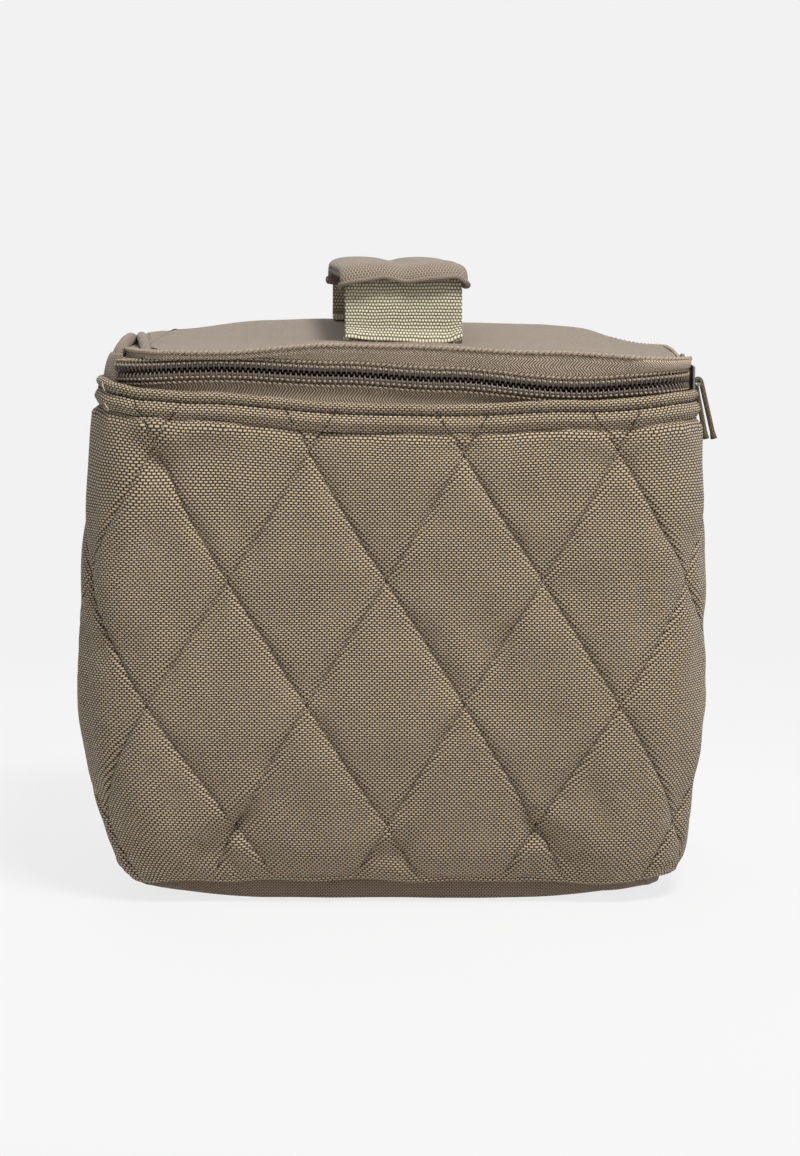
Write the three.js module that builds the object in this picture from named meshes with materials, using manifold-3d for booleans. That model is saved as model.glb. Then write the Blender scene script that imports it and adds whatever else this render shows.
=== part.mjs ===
// A soft cosmetic case: a quilted fabric box with a zipped, padded lid and a webbing handle.
// Millimetres. +X to the right seen from the front, +Y to the back, +Z up.
// The origin is the middle of the flat base, on the surface that the case stands on.

import * as THREE from "three";
import { mergeVertices } from "three/addons/utils/BufferGeometryUtils.js";
import Module from "manifold-3d";

const wasm = await Module();
wasm.setup();

// Driving dimensions

const clearance = 0.3;

const caseWidth = 204;
const caseDepth = 140;
const cornerRadius = 24;
const hemHeight = 171;
const panelThickness = 5;
const wallBulge = 3;
const baseTuck = 10;
const baseTuckHeight = 70;

const quiltWidth = 51;
const quiltHeight = 84;
const quiltSeat = 2;
const quiltSwell = 3;
const quiltFullness = 0.55;
const quiltRoot = 0.8;
const quiltCrossingX = -3.5;
const quiltCrossingHeight = 106;
const hemFoldHeight = 10.5;

const basePanelThickness = 5;
const basePanelInset = 13;
const basePanelRound = 1.2;
const baseBoardThickness = 1.5;
const liningThickness = 1;

const zipRecess = 5;
const tapeThickness = 1;
const tapeGap = 2.4;
const lowerTapeHeight = 6;
const upperTapeHeight = 7;
const zipTail = 12;
const coilHeight = 3.1;
const coilDepth = 2.2;
const chainGap = 1.2;

const endTabThickness = 1;
const endTabReach = 11;
const endTabGap = 0.5;
const endTabMargin = 0.6;
const rightTabLength = 5;

const sliderLength = 12;
const sliderHeight = 9.2;
const sliderPlate = 1;
const sliderPlay = 0.4;
const sliderWeb = 0.6;
const sliderWebLength = 4;
const crownPostLength = 1.5;
const crownRodRadius = 0.7;
const pullCordDiameter = 1.8;
const pullCordLoop = 1.9;
const pullCordLength = 19;
const pullCordLean = 23;

const gussetThickness = 1.2;
const gussetFrontDepth = 34;
const gussetBackDepth = 8;
const gussetPleats = 2;
const gussetInset = 2;
const gussetTipGap = 0.5;

const hingeStripThickness = 1.5;
const hingeStripInset = 2.5;

const lidInset = 3;
const lidThickness = 3.5;
const lidDome = 4;
const lidPlateau = 0.72;
const lidLiningInset = 8;
const backingThickness = 1;
const backingWidth = 50;
const backingLength = 92;

const strapWidth = 40;
const strapThickness = 2;
const strapSpan = 84;
const strapRise = 19;
const strapFoot = 12;
const strapFootRadius = 2.5;
const strapTopRadius = 7;
const gripLength = 68;
const gripSideWall = 2.4;
const gripTopWall = 4.5;
const gripBottomWall = 2.2;
const gripRound = 3;
const handleYaw = 4.1;

// How finely the curved forms are divided

const cornerSegments = 5;
const wallSteps = 10;
const wallStepGrowth = 1.6;
const quiltDivisions = 8;
const lidSlopeRings = 4;
const strapBendSegments = 6;
const gripCornerSegments = 4;
const rodSides = 12;
const cordSides = 8;
const cordSteps = 32;
const weldTolerance = 1e-4;

// Heights that follow from them

const floorBottom = basePanelThickness + clearance;
const liningFloorBottom = floorBottom + baseBoardThickness + clearance;
const liningWallBottom = liningFloorBottom + liningThickness + clearance;
const lowerTapeBottom = hemHeight + clearance;
const lowerTapeTop = lowerTapeBottom + lowerTapeHeight;
const chainCentre = lowerTapeTop + tapeGap / 2;
const upperTapeBottom = lowerTapeTop + tapeGap;
const upperTapeTop = upperTapeBottom + upperTapeHeight;
const hemFoldBottom = hemHeight - hemFoldHeight;
const lidBottom = upperTapeTop + clearance;
const liningRimTop = lidBottom - clearance;
const liningRimBottom = liningRimTop - liningThickness;
const gussetTop = liningRimBottom - clearance;
const backingTop = lidBottom + lidDome - clearance;
const backingBottom = backingTop - backingThickness;
const lidLiningDome = backingBottom - clearance - liningRimTop;
const lidTop = lidBottom + lidThickness + lidDome;
const strapFootBottom = lidTop + clearance;

// Places along the depth that follow from them

const frontArcEnd = -(caseDepth / 2 - cornerRadius);
const backArcEnd = caseDepth / 2 - cornerRadius;
const tapeEnd = frontArcEnd + zipTail;
const gussetFront = tapeEnd + gussetTipGap;
const gussetBack = backArcEnd - gussetTipGap;

// Offsets from the case's outline, inwards negative

const tapeOuter = -zipRecess;
const tapeInner = tapeOuter - tapeThickness;
const coilInner = tapeOuter + clearance;
const coilOuter = coilInner + coilDepth;
const endTabInner = coilOuter + endTabGap;
const endTabOuter = endTabInner + endTabThickness;

// Materials

function finish(colour, roughness, metalness = 0) {
  return new THREE.MeshStandardMaterial({ color: colour, roughness, metalness });
}

const quiltedFabric = () => finish(0x77685a, 0.85);
const lidFabric = () => finish(0xa09284, 0.85);
const baseFabric = () => finish(0x5f5145, 0.88);
const liningFabric = () => finish(0x6a5f52, 0.8);
const boardPlastic = () => finish(0x3d3a36, 0.6);
const tapeFabric = () => finish(0x84766a, 0.85);
const coilNylon = () => finish(0x4a4340, 0.45);
const sliderMetal = () => finish(0x6e706c, 0.35, 0.9);
const cordFibre = () => finish(0x5c513f, 0.8);
const strapWebbing = () => finish(0xaca48e, 0.8);

// Solids and booleans

function toSolid(geometry) {
  const bare = geometry.index ? geometry.toNonIndexed() : geometry.clone();
  bare.deleteAttribute("normal");
  bare.deleteAttribute("uv");
  const merged = mergeVertices(bare, weldTolerance);
  return new wasm.Manifold(
    new wasm.Mesh({
      numProp: 3,
      vertProperties: new Float32Array(merged.attributes.position.array),
      triVerts: new Uint32Array(merged.index.array),
    }),
  );
}

function toGeometry(solid) {
  const mesh = solid.getMesh();
  const geometry = new THREE.BufferGeometry();
  geometry.setAttribute("position", new THREE.BufferAttribute(new Float32Array(mesh.vertProperties), 3));
  geometry.setIndex(new THREE.BufferAttribute(new Uint32Array(mesh.triVerts), 1));
  geometry.computeVertexNormals();
  return geometry;
}

function block(low, high) {
  const size = high.map((value, axis) => value - low[axis]);
  const centre = high.map((value, axis) => (value + low[axis]) / 2);
  return toSolid(new THREE.BoxGeometry(...size).translate(...centre));
}

// A block between limits, far larger than the case along each axis whose limits are left out.
function region(limits) {
  const far = [-2 * caseWidth, 2 * caseWidth];
  const { x = far, y = far, z = far } = limits;
  return block([x[0], y[0], z[0]], [x[1], y[1], z[1]]);
}

// The outline of the case in plan

function roundedRectangle(halfWidth, halfDepth, radius) {
  const shape = new THREE.Shape();
  const x = halfWidth - radius;
  const y = halfDepth - radius;
  shape.moveTo(0, -halfDepth);
  shape.lineTo(x, -halfDepth);
  shape.absarc(x, -y, radius, -Math.PI / 2, 0, false);
  shape.absarc(x, y, radius, 0, Math.PI / 2, false);
  shape.absarc(-x, y, radius, Math.PI / 2, Math.PI, false);
  shape.absarc(-x, -y, radius, Math.PI, Math.PI * 1.5, false);
  shape.closePath();
  return shape;
}

function caseOutline(offset) {
  return roundedRectangle(caseWidth / 2 + offset, caseDepth / 2 + offset, cornerRadius + offset);
}

// How far the soft wall stands out of the hem's outline at a height.
function wallOffset(z) {
  const swell = wallBulge * Math.sin((Math.PI * Math.min(z, hemHeight)) / hemHeight);
  const tuck = baseTuck * Math.max(0, 1 - z / baseTuckHeight) ** 2;
  return swell - tuck;
}

// Gives a straight-sided solid the bulge of the soft walls.
function bulged(geometry) {
  const position = geometry.attributes.position;
  for (let i = 0; i < position.count; i += 1) {
    const offset = wallOffset(position.getZ(i));
    position.setX(i, position.getX(i) * (1 + (2 * offset) / caseWidth));
    position.setY(i, position.getY(i) * (1 + (2 * offset) / caseDepth));
  }
  return geometry;
}

function upright(shape, bottom, top, steps = 1) {
  const options = { depth: top - bottom, steps, bevelEnabled: false, curveSegments: cornerSegments };
  return new THREE.ExtrudeGeometry(shape, options).translate(0, 0, bottom);
}

function ringShape(inner, outer) {
  const shape = caseOutline(outer);
  shape.holes.push(caseOutline(inner));
  return shape;
}

// A straight upright wall that follows the case's outline all round.
function ring(inner, outer, bottom, top) {
  return toSolid(upright(ringShape(inner, outer), bottom, top));
}

// A shape raised through the whole height of the soft walls, with their bulge, and cut to two heights.
// Its rings of points lie closer together towards the base, where the walls turn in.
function softColumn(shape, bottom, top) {
  const column = upright(shape, 0, 1, wallSteps);
  const position = column.attributes.position;
  for (let i = 0; i < position.count; i += 1) {
    const share = position.getZ(i) ** wallStepGrowth;
    position.setZ(i, floorBottom + share * (hemHeight - floorBottom));
  }
  return toSolid(bulged(column)).intersect(region({ z: [bottom, top] }));
}

// A level plate that follows an outline, with a ring of points at each step of its profile.
// The profile is a list of [share of the outline's reach, height] from the axis and back to it.
function plate(outline, profile) {
  const points = outline.getPoints(cornerSegments);
  points.pop();
  const segments = points.length;
  const lathe = new THREE.LatheGeometry(
    profile.map(([reach, height]) => new THREE.Vector2(reach, height)),
    segments,
  );
  const position = lathe.attributes.position;
  for (let i = 0; i < position.count; i += 1) {
    const turn = Math.floor(i / profile.length) % segments;
    const [reach, height] = profile[i % profile.length];
    const point = points[turn];
    position.setXYZ(i, point.x * reach, point.y * reach, height);
  }
  return toSolid(lathe);
}

// The lid's rise over its rim: level in the middle, falling smoothly to nothing at the rim.
function domeRise(reach, height) {
  const slope = Math.min(1, (1 - reach) / (1 - lidPlateau));
  return height * slope * slope * (3 - 2 * slope);
}

function domedPlate(outline, bottom, top, height) {
  const reaches = [0, lidPlateau];
  for (let i = 1; i <= lidSlopeRings; i += 1) {
    reaches.push(lidPlateau + ((1 - lidPlateau) * i) / lidSlopeRings);
  }
  const under = reaches.map((reach) => [reach, bottom + domeRise(reach, height)]);
  const over = reaches.map((reach) => [reach, top + domeRise(reach, height)]).reverse();
  return plate(outline, [...under, ...over]);
}

function lidPanel() {
  return domedPlate(caseOutline(-lidInset), lidBottom, lidBottom + lidThickness, lidDome);
}

function lidLining() {
  return domedPlate(caseOutline(-lidLiningInset), liningRimBottom, liningRimTop, lidLiningDome);
}

// Walls, base and inside lining

// How far the quilting stands up at a distance from a crossing of its stitch lines: nothing on the
// lines, all of its swell in the middle of a diamond, and less towards the base.
function quiltLift(along, height) {
  const z = quiltCrossingHeight + height;
  if (z >= hemFoldBottom) {
    return 0;
  }
  const across = Math.cos((2 * Math.PI * along) / quiltWidth);
  const up = Math.cos((2 * Math.PI * height) / quiltHeight);
  const foot = Math.min(1, (z - floorBottom) / hemFoldHeight);
  return quiltSwell * foot * (Math.abs(across - up) / 2) ** quiltFullness;
}

// Splits each four-sided face along its lower diagonal, so that edges follow the stitch lines.
function creaseAlongStitches(index, lifts) {
  for (let i = 0; i < index.count; i += 6) {
    const [a, b, c, d] = [0, 1, 4, 2].map((step) => index.getX(i + step));
    if (lifts[a] + lifts[c] < lifts[b] + lifts[d]) {
      index.setX(i + 2, c);
      index.setX(i + 3, a);
    }
  }
}

// The quilted skin of a length of wall on both sides of a crossing, which lies at a distance along
// the case's outline from the middle of the front. Its root lies inside the wall.
function quiltedSkin(crossing, reach) {
  const outline = caseOutline(0);
  const around = outline.getLength();
  const stepAlong = quiltWidth / quiltDivisions;
  const stepUp = quiltHeight / quiltDivisions;
  const columns = 2 * Math.ceil(reach / stepAlong);
  const top = hemFoldBottom + hemFoldHeight / 4;
  const firstRow = Math.floor((floorBottom - quiltCrossingHeight) / stepUp);
  const rows = Math.ceil((top - quiltCrossingHeight) / stepUp) - firstRow;
  const skin = new THREE.BoxGeometry(columns, rows, 1, columns, rows, 1);
  const position = skin.attributes.position;
  const lifts = [];
  for (let i = 0; i < position.count; i += 1) {
    const along = position.getX(i) * stepAlong;
    const level = (position.getY(i) + rows / 2 + firstRow) * stepUp;
    const z = THREE.MathUtils.clamp(quiltCrossingHeight + level, floorBottom, top);
    const outside = position.getZ(i) > 0;
    const lift = outside ? quiltLift(along, z - quiltCrossingHeight) : -2 * quiltRoot;
    const turn = THREE.MathUtils.euclideanModulo((crossing + along) / around, 1);
    const point = outline.getPoint(turn);
    const tangent = outline.getTangent(turn);
    const offset = lift - quiltSeat;
    position.setXYZ(i, point.x + tangent.y * offset, point.y - tangent.x * offset, z);
    lifts.push(outside ? lift : 0);
  }
  creaseAlongStitches(skin.index, lifts);
  return toSolid(bulged(skin));
}

// The wall all round with the quilted skin of one length of it, and the folded hem on top.
function quiltedWall(crossing, reach) {
  const core = softColumn(ringShape(-panelThickness, -quiltSeat - quiltRoot), floorBottom, hemHeight);
  const hem = softColumn(ringShape(-quiltSeat - 2 * quiltRoot, 0), hemFoldBottom, hemHeight);
  return core.add(quiltedSkin(crossing, reach)).add(hem);
}

function quiltedBand() {
  const straights = caseWidth + 2 * caseDepth - 6 * cornerRadius;
  const reach = (straights + 2 * Math.PI * cornerRadius) / 2 + cornerRadius / 4;
  return quiltedWall(quiltCrossingX, reach).subtract(backRegion(0));
}

function backPanel() {
  const middle = caseOutline(0).getLength() / 2;
  return quiltedWall(middle, caseWidth / 2 - cornerRadius / 2).intersect(backRegion(clearance));
}

function backRegion(margin) {
  return region({
    x: [-(caseWidth / 2 - cornerRadius) + margin, caseWidth / 2 - cornerRadius - margin],
    y: [0, caseDepth],
  });
}

function basePanel() {
  const rim = (reach) => 1 - reach / (caseWidth / 2 - basePanelInset);
  return plate(caseOutline(-basePanelInset), [
    [0, 0],
    [rim(basePanelRound), 0],
    [1, basePanelRound],
    [1, basePanelThickness - basePanelRound],
    [rim(basePanelRound), basePanelThickness],
    [0, basePanelThickness],
  ]);
}

// A sheet that lies on the floor of the case, inside its walls.
function floorSheet(bottom, thickness) {
  return softColumn(caseOutline(-panelThickness - clearance), bottom, bottom + thickness);
}

function liningWalls() {
  const outer = -panelThickness - clearance;
  return softColumn(ringShape(outer - liningThickness, outer), liningWallBottom, hemHeight);
}

// Zip tapes and coils

function zipTape(bottom, top) {
  return ring(tapeInner, tapeOuter, bottom, top).intersect(region({ y: [-caseDepth, tapeEnd] }));
}

function zipCoil(bottom) {
  const coil = ring(coilInner, coilOuter, bottom, bottom + coilHeight);
  return coil.intersect(region({ y: [-caseDepth, frontArcEnd] }));
}

function leftEndTab() {
  const bottom = lowerTapeBottom + endTabMargin;
  const tab = ring(endTabInner, endTabOuter, bottom, upperTapeTop - endTabMargin);
  const edge = -(caseWidth / 2 - endTabReach);
  return tab.intersect(region({ x: [-caseWidth, edge], y: [-caseDepth, tapeEnd] }));
}

function rightEndTab() {
  const bottom = lowerTapeBottom + endTabMargin;
  const outer = coilInner + endTabThickness;
  const tab = ring(coilInner, outer, bottom, upperTapeTop - endTabMargin);
  return tab.intersect(region({ x: [0, caseWidth], y: [tapeEnd - rightTabLength, tapeEnd] }));
}

// Slider, parked at the right-hand end of the zip, square to X

const tapeBendRadius = cornerRadius + tapeInner;
const bendSag = tapeBendRadius - Math.sqrt(tapeBendRadius ** 2 - (sliderLength / 2) ** 2);
const sliderOuterFace = caseWidth / 2 + coilOuter + sliderPlay;
const sliderOutside = sliderOuterFace + sliderPlate;
const sliderInnerFace = caseWidth / 2 + tapeInner - sliderPlay - bendSag;
const crownRodOffset = pullCordLoop + pullCordDiameter / 2 + clearance;
const crownRodX = sliderOutside + crownRodOffset;

function sliderBody() {
  const low = chainCentre - sliderHeight / 2;
  const high = chainCentre + sliderHeight / 2;
  const front = frontArcEnd - sliderLength / 2;
  const back = frontArcEnd + sliderLength / 2;
  const outer = block([sliderOuterFace, front, low], [sliderOutside, back, high]);
  const inner = block([sliderInnerFace - sliderPlate, front, low], [sliderInnerFace, back, high]);
  const webX = [sliderInnerFace - sliderPlate / 2, sliderOutside - sliderPlate / 2];
  const web = block(
    [webX[0], back - sliderWebLength, chainCentre - sliderWeb / 2],
    [webX[1], back, chainCentre + sliderWeb / 2],
  );
  const rod = toSolid(
    new THREE.CylinderGeometry(crownRodRadius, crownRodRadius, sliderLength, rodSides)
      .translate(crownRodX, frontArcEnd, chainCentre),
  );
  let slider = outer.add(inner).add(web).add(rod);
  for (const end of [front, back - crownPostLength]) {
    const post = block(
      [sliderOutside - sliderPlate / 2, end, chainCentre - crownRodRadius],
      [crownRodX, end + crownPostLength, chainCentre + crownRodRadius],
    );
    slider = slider.add(post);
  }
  return slider;
}

// A doubled cord looped through the crown, in the XZ plane of the slider's middle.
class DoubledCord extends THREE.Curve {
  getPoint(t) {
    const half = Math.PI * pullCordLoop;
    const along = t * (2 * pullCordLength + half);
    if (along < pullCordLength) {
      return new THREE.Vector3(-pullCordLoop, 0, along - pullCordLength);
    }
    if (along > pullCordLength + half) {
      return new THREE.Vector3(pullCordLoop, 0, pullCordLength + half - along);
    }
    const angle = Math.PI - (along - pullCordLength) / pullCordLoop;
    return new THREE.Vector3(pullCordLoop * Math.cos(angle), 0, pullCordLoop * Math.sin(angle));
  }
}

function pullCord() {
  const radius = pullCordDiameter / 2;
  const points = [];
  for (let i = 0; i < cordSides; i += 1) {
    const angle = (2 * Math.PI * i) / cordSides;
    points.push(new THREE.Vector2(radius * Math.cos(angle), radius * Math.sin(angle)));
  }
  return new THREE.ExtrudeGeometry(new THREE.Shape(points), {
    steps: cordSteps,
    bevelEnabled: false,
    extrudePath: new DoubledCord(),
  });
}

// Side gussets, folded inwards between the hem and the lid

// The right-hand gusset: a zigzag sheet whose outer edge is at x = 0 and whose folds are at x = 1
// before it is set in place and its folds are drawn in to their depth.
function gusset() {
  const layers = 2 * gussetPleats;
  const rise = (gussetTop - lowerTapeBottom - gussetThickness) / layers;
  const half = gussetThickness / 2;
  const corner = half / rise;
  const over = [[0, half]];
  const under = [[0, -half]];
  for (let i = 1; i < layers; i += 1) {
    const fold = i % 2;
    const [inside, outside] = fold ? [over, under] : [under, over];
    inside.push([fold ? 1 - corner : corner, i * rise]);
    outside.push([fold, i * rise - half], [fold, i * rise + half]);
  }
  over.push([0, layers * rise - half]);
  under.push([0, layers * rise + half]);
  const points = [...over, ...under.reverse()].map(([x, y]) => new THREE.Vector2(x, y + half));
  const shape = new THREE.Shape(points);
  const length = gussetBack - gussetFront;
  const geometry = new THREE.ExtrudeGeometry(shape, { depth: length, steps: 1, bevelEnabled: false });
  const position = geometry.attributes.position;
  const edge = caseWidth / 2 - gussetInset;
  for (let i = 0; i < position.count; i += 1) {
    const along = position.getZ(i) / length;
    const depth = gussetFrontDepth + (gussetBackDepth - gussetFrontDepth) * along;
    const inward = position.getX(i) * depth;
    const height = lowerTapeBottom + position.getY(i);
    position.setXYZ(i, edge - inward, gussetFront + along * length, height);
  }
  return geometry;
}

// Back strip that the lid hinges on

function hingeStrip() {
  const outer = -hingeStripInset;
  const strip = ring(outer - hingeStripThickness, outer, lowerTapeBottom, upperTapeTop);
  return strip.intersect(region({ y: [backArcEnd, caseDepth] }));
}

// Handle: a webbing strap bent into a bridge, seen from the side with the front to the left

function strapProfile() {
  const half = strapThickness / 2;
  const legY = strapSpan / 2;
  const footY = legY - strapFoot;
  const footZ = half;
  const topZ = strapRise + half;
  const outside = [strapFootRadius + half, strapTopRadius + half];
  const inside = [strapFootRadius - half, strapTopRadius - half];
  const footBend = [legY - strapFootRadius, footZ + strapFootRadius];
  const topBend = [legY - strapTopRadius, topZ - strapTopRadius];
  const quarter = Math.PI / 2;
  const shape = new THREE.Shape();
  shape.moveTo(-footY, 0);
  shape.absarc(-footBend[0], footBend[1], outside[0], -quarter, -2 * quarter, true);
  shape.absarc(-topBend[0], topBend[1], outside[1], 2 * quarter, quarter, true);
  shape.absarc(topBend[0], topBend[1], outside[1], quarter, 0, true);
  shape.absarc(footBend[0], footBend[1], outside[0], 0, -quarter, true);
  shape.lineTo(footY, 0);
  shape.lineTo(footY, strapThickness);
  shape.absarc(footBend[0], footBend[1], inside[0], -quarter, 0, false);
  shape.absarc(topBend[0], topBend[1], inside[1], 0, quarter, false);
  shape.absarc(-topBend[0], topBend[1], inside[1], quarter, 2 * quarter, false);
  shape.absarc(-footBend[0], footBend[1], inside[0], 2 * quarter, 3 * quarter, false);
  shape.lineTo(-footY, strapThickness);
  shape.closePath();
  return shape;
}

// Stands a shape drawn in the YZ plane upright and gives it a width along X.
function acrossWidth(shape, width) {
  const options = { depth: width, bevelEnabled: false, curveSegments: strapBendSegments };
  const geometry = new THREE.ExtrudeGeometry(shape, options);
  const frame = new THREE.Matrix4().makeBasis(
    new THREE.Vector3(0, 1, 0),
    new THREE.Vector3(0, 0, 1),
    new THREE.Vector3(1, 0, 0),
  );
  return geometry.applyMatrix4(frame).translate(-width / 2, 0, 0);
}

// The stiff plate under the lid that the strap's feet are sewn through to.
function handleBacking() {
  const plateGeometry = new THREE.BoxGeometry(backingWidth, backingLength, backingThickness);
  return plateGeometry.translate(0, 0, backingBottom + backingThickness / 2 - strapFootBottom);
}

// The padded sleeve round the top of the strap, with the strap's slot through it.
function gripSleeve() {
  const slotHalf = strapWidth / 2 + clearance;
  const slotBottom = strapRise - clearance;
  const slotTop = strapRise + strapThickness + clearance;
  const halfWidth = slotHalf + gripSideWall;
  const bottom = slotBottom - gripBottomWall;
  const top = slotTop + gripTopWall;
  const middle = (top + bottom) / 2;
  const shape = roundedRectangle(halfWidth, (top - bottom) / 2, gripRound);
  const slot = new THREE.Path();
  slot.moveTo(-slotHalf, slotBottom - middle);
  slot.lineTo(slotHalf, slotBottom - middle);
  slot.lineTo(slotHalf, slotTop - middle);
  slot.lineTo(-slotHalf, slotTop - middle);
  slot.closePath();
  shape.holes.push(slot);
  const options = { depth: gripLength, bevelEnabled: false, curveSegments: gripCornerSegments };
  const geometry = new THREE.ExtrudeGeometry(shape, options);
  return geometry.rotateX(Math.PI / 2).translate(0, gripLength / 2, middle);
}

// Assembly

const cosmeticCase = new THREE.Group();

function addMesh(parent, name, shape, material) {
  const geometry = shape.isBufferGeometry ? shape : toGeometry(shape);
  const mesh = new THREE.Mesh(geometry, material);
  mesh.name = name;
  parent.add(mesh);
  return mesh;
}

const body = new THREE.Group();
addMesh(body, "quilted_band", quiltedBand(), quiltedFabric());
addMesh(body, "back_panel", backPanel(), quiltedFabric());
addMesh(body, "base_panel", basePanel(), baseFabric());
addMesh(body, "base_board", floorSheet(floorBottom, baseBoardThickness), boardPlastic());
addMesh(body, "lining_floor", floorSheet(liningFloorBottom, liningThickness), liningFabric());
addMesh(body, "lining_walls", liningWalls(), liningFabric());
addMesh(body, "lower_zip_tape", zipTape(lowerTapeBottom, lowerTapeTop), tapeFabric());
addMesh(body, "lower_zip_coil", zipCoil(chainCentre - chainGap / 2 - coilHeight), coilNylon());
addMesh(body, "left_zip_end_tab", leftEndTab(), lidFabric());
addMesh(body, "right_zip_end_tab", rightEndTab(), lidFabric());
addMesh(body, "right_gusset", gusset(), lidFabric());
addMesh(body, "left_gusset", gusset(), lidFabric()).scale.x = -1;
addMesh(body, "hinge_strip", hingeStrip(), lidFabric());
cosmeticCase.add(body);

const slider = new THREE.Group();
addMesh(slider, "zip_slider", sliderBody(), sliderMetal());
const cord = addMesh(slider, "zip_pull_cord", pullCord(), cordFibre());
cord.position.set(crownRodX, frontArcEnd, chainCentre);
cord.rotation.y = -THREE.MathUtils.degToRad(pullCordLean);
cosmeticCase.add(slider);

const lid = new THREE.Group();
addMesh(lid, "lid_panel", lidPanel(), lidFabric());
addMesh(lid, "lid_lining", lidLining(), liningFabric());
addMesh(lid, "upper_zip_tape", zipTape(upperTapeBottom, upperTapeTop), tapeFabric());
addMesh(lid, "upper_zip_coil", zipCoil(chainCentre + chainGap / 2), coilNylon());
const handle = new THREE.Group();
addMesh(handle, "handle_backing", handleBacking(), boardPlastic());
addMesh(handle, "handle_strap", acrossWidth(strapProfile(), strapWidth), strapWebbing());
addMesh(handle, "handle_grip", gripSleeve(), lidFabric());
handle.position.z = strapFootBottom;
handle.rotation.z = THREE.MathUtils.degToRad(handleYaw);
lid.add(handle);
cosmeticCase.add(lid);

export default cosmeticCase;
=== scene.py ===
"""A soft quilted cosmetic case with a zipped lid and a webbing handle, dressed over its solid model.

Lengths are in metres. +X is to the right seen from the front, +Y to the back and +Z up.
The origin is the middle of the flat base, on the surface that the case stands on.
"""

import sys
import logging
import math
from dataclasses import dataclass
from enum import Enum
from typing import Callable, Optional, Sequence

import bmesh
import bpy
import numpy as np
from mathutils import Matrix, Vector, noise


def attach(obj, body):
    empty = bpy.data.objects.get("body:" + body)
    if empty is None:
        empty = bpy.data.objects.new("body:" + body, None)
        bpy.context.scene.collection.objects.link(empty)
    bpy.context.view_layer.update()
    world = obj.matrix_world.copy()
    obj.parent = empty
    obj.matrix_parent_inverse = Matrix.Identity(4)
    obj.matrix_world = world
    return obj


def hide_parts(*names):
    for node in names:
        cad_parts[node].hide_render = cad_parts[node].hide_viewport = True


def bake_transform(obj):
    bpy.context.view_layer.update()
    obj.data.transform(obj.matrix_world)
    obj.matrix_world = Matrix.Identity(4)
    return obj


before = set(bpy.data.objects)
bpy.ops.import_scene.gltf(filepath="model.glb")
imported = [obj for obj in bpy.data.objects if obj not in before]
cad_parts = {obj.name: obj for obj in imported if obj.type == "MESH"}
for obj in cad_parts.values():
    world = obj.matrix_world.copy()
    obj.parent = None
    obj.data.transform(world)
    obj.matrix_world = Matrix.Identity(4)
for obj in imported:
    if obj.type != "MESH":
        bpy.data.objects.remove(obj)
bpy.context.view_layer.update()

log = logging.getLogger("cosmetic_case")

MM = 0.001
Colour = tuple[float, float, float]
Knots = tuple[tuple[float, float], ...]
Place = Callable[[float, float], Vector]


# Small shared sums


def srgb(red: int, green: int, blue: int) -> Colour:
    """Turns a display colour of 0 to 255 into scene-linear values.

    Args:
        red: Its red channel.
        green: Its green channel.
        blue: Its blue channel.

    Returns:
        The same colour in scene-linear values.
    """
    def linear(value: float) -> float:
        """One channel of the conversion."""
        return value / 12.92 if value <= 0.04045 else ((value + 0.055) / 1.055) ** 2.4
    return linear(red / 255), linear(green / 255), linear(blue / 255)


def smoothstep(low: float, high: float, value: float) -> float:
    """Eases from 0 at low to 1 at high."""
    share = min(1.0, max(0.0, (value - low) / (high - low)))
    return share * share * (3 - 2 * share)


def through(knots: Sequence[tuple[float, float]], value: float) -> float:
    """Eases through knots.

    Args:
        knots: Pairs of place and value, in rising order of place.
        value: The place to read.

    Returns:
        The value there, held level before the first knot and after the last.
    """
    if value <= knots[0][0]:
        return knots[0][1]
    for (left, low), (right, high) in zip(knots, knots[1:]):
        if value <= right:
            return low + (high - low) * smoothstep(left, right, value)
    return knots[-1][1]


def ripple(x: float, y: float, seed: float = 0.0) -> float:
    """A smooth unevenness between about -1 and 1, the same on every run."""
    return noise.noise(Vector((x, y, seed)))


def spread(low: float, high: float, step: float) -> list[float]:
    """Even places from low to high, no further apart than step."""
    count = max(1, math.ceil((high - low) / step - 1e-6))
    return [low + (high - low) * i / count for i in range(count + 1)]


def rounded_path(corners: Sequence[tuple[float, float]]) -> list[Vector]:
    """Rounds an open path by cutting its corners twice.

    Args:
        corners: The path's points in two coordinates, in millimetres.

    Returns:
        The rounded path's points, in metres.
    """
    points = [Vector(corner) for corner in corners]
    for _ in range(2):
        cut = [points[0]]
        for one, other in zip(points, points[1:]):
            cut += [one.lerp(other, 0.25), one.lerp(other, 0.75)]
        points = cut + [points[-1]]
    return [point * MM for point in points]


def resample(points: Sequence[Vector], step: float) -> tuple[list[Vector], list[float]]:
    """Spaces a path's points evenly.

    Args:
        points: The path.
        step: The distance wanted between points.

    Returns:
        The new points and how far along the path each one is.
    """
    reach = [0.0]
    for one, other in zip(points, points[1:]):
        reach.append(reach[-1] + (other - one).length)
    places = spread(0.0, reach[-1], step)
    made, k = [], 0
    for place in places:
        while k < len(reach) - 2 and reach[k + 1] < place:
            k += 1
        gap = max(reach[k + 1] - reach[k], 1e-9)
        made.append(points[k].lerp(points[k + 1], min(1.0, max(0.0, (place - reach[k]) / gap))))
    return made, places


# Meshes and objects


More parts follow.
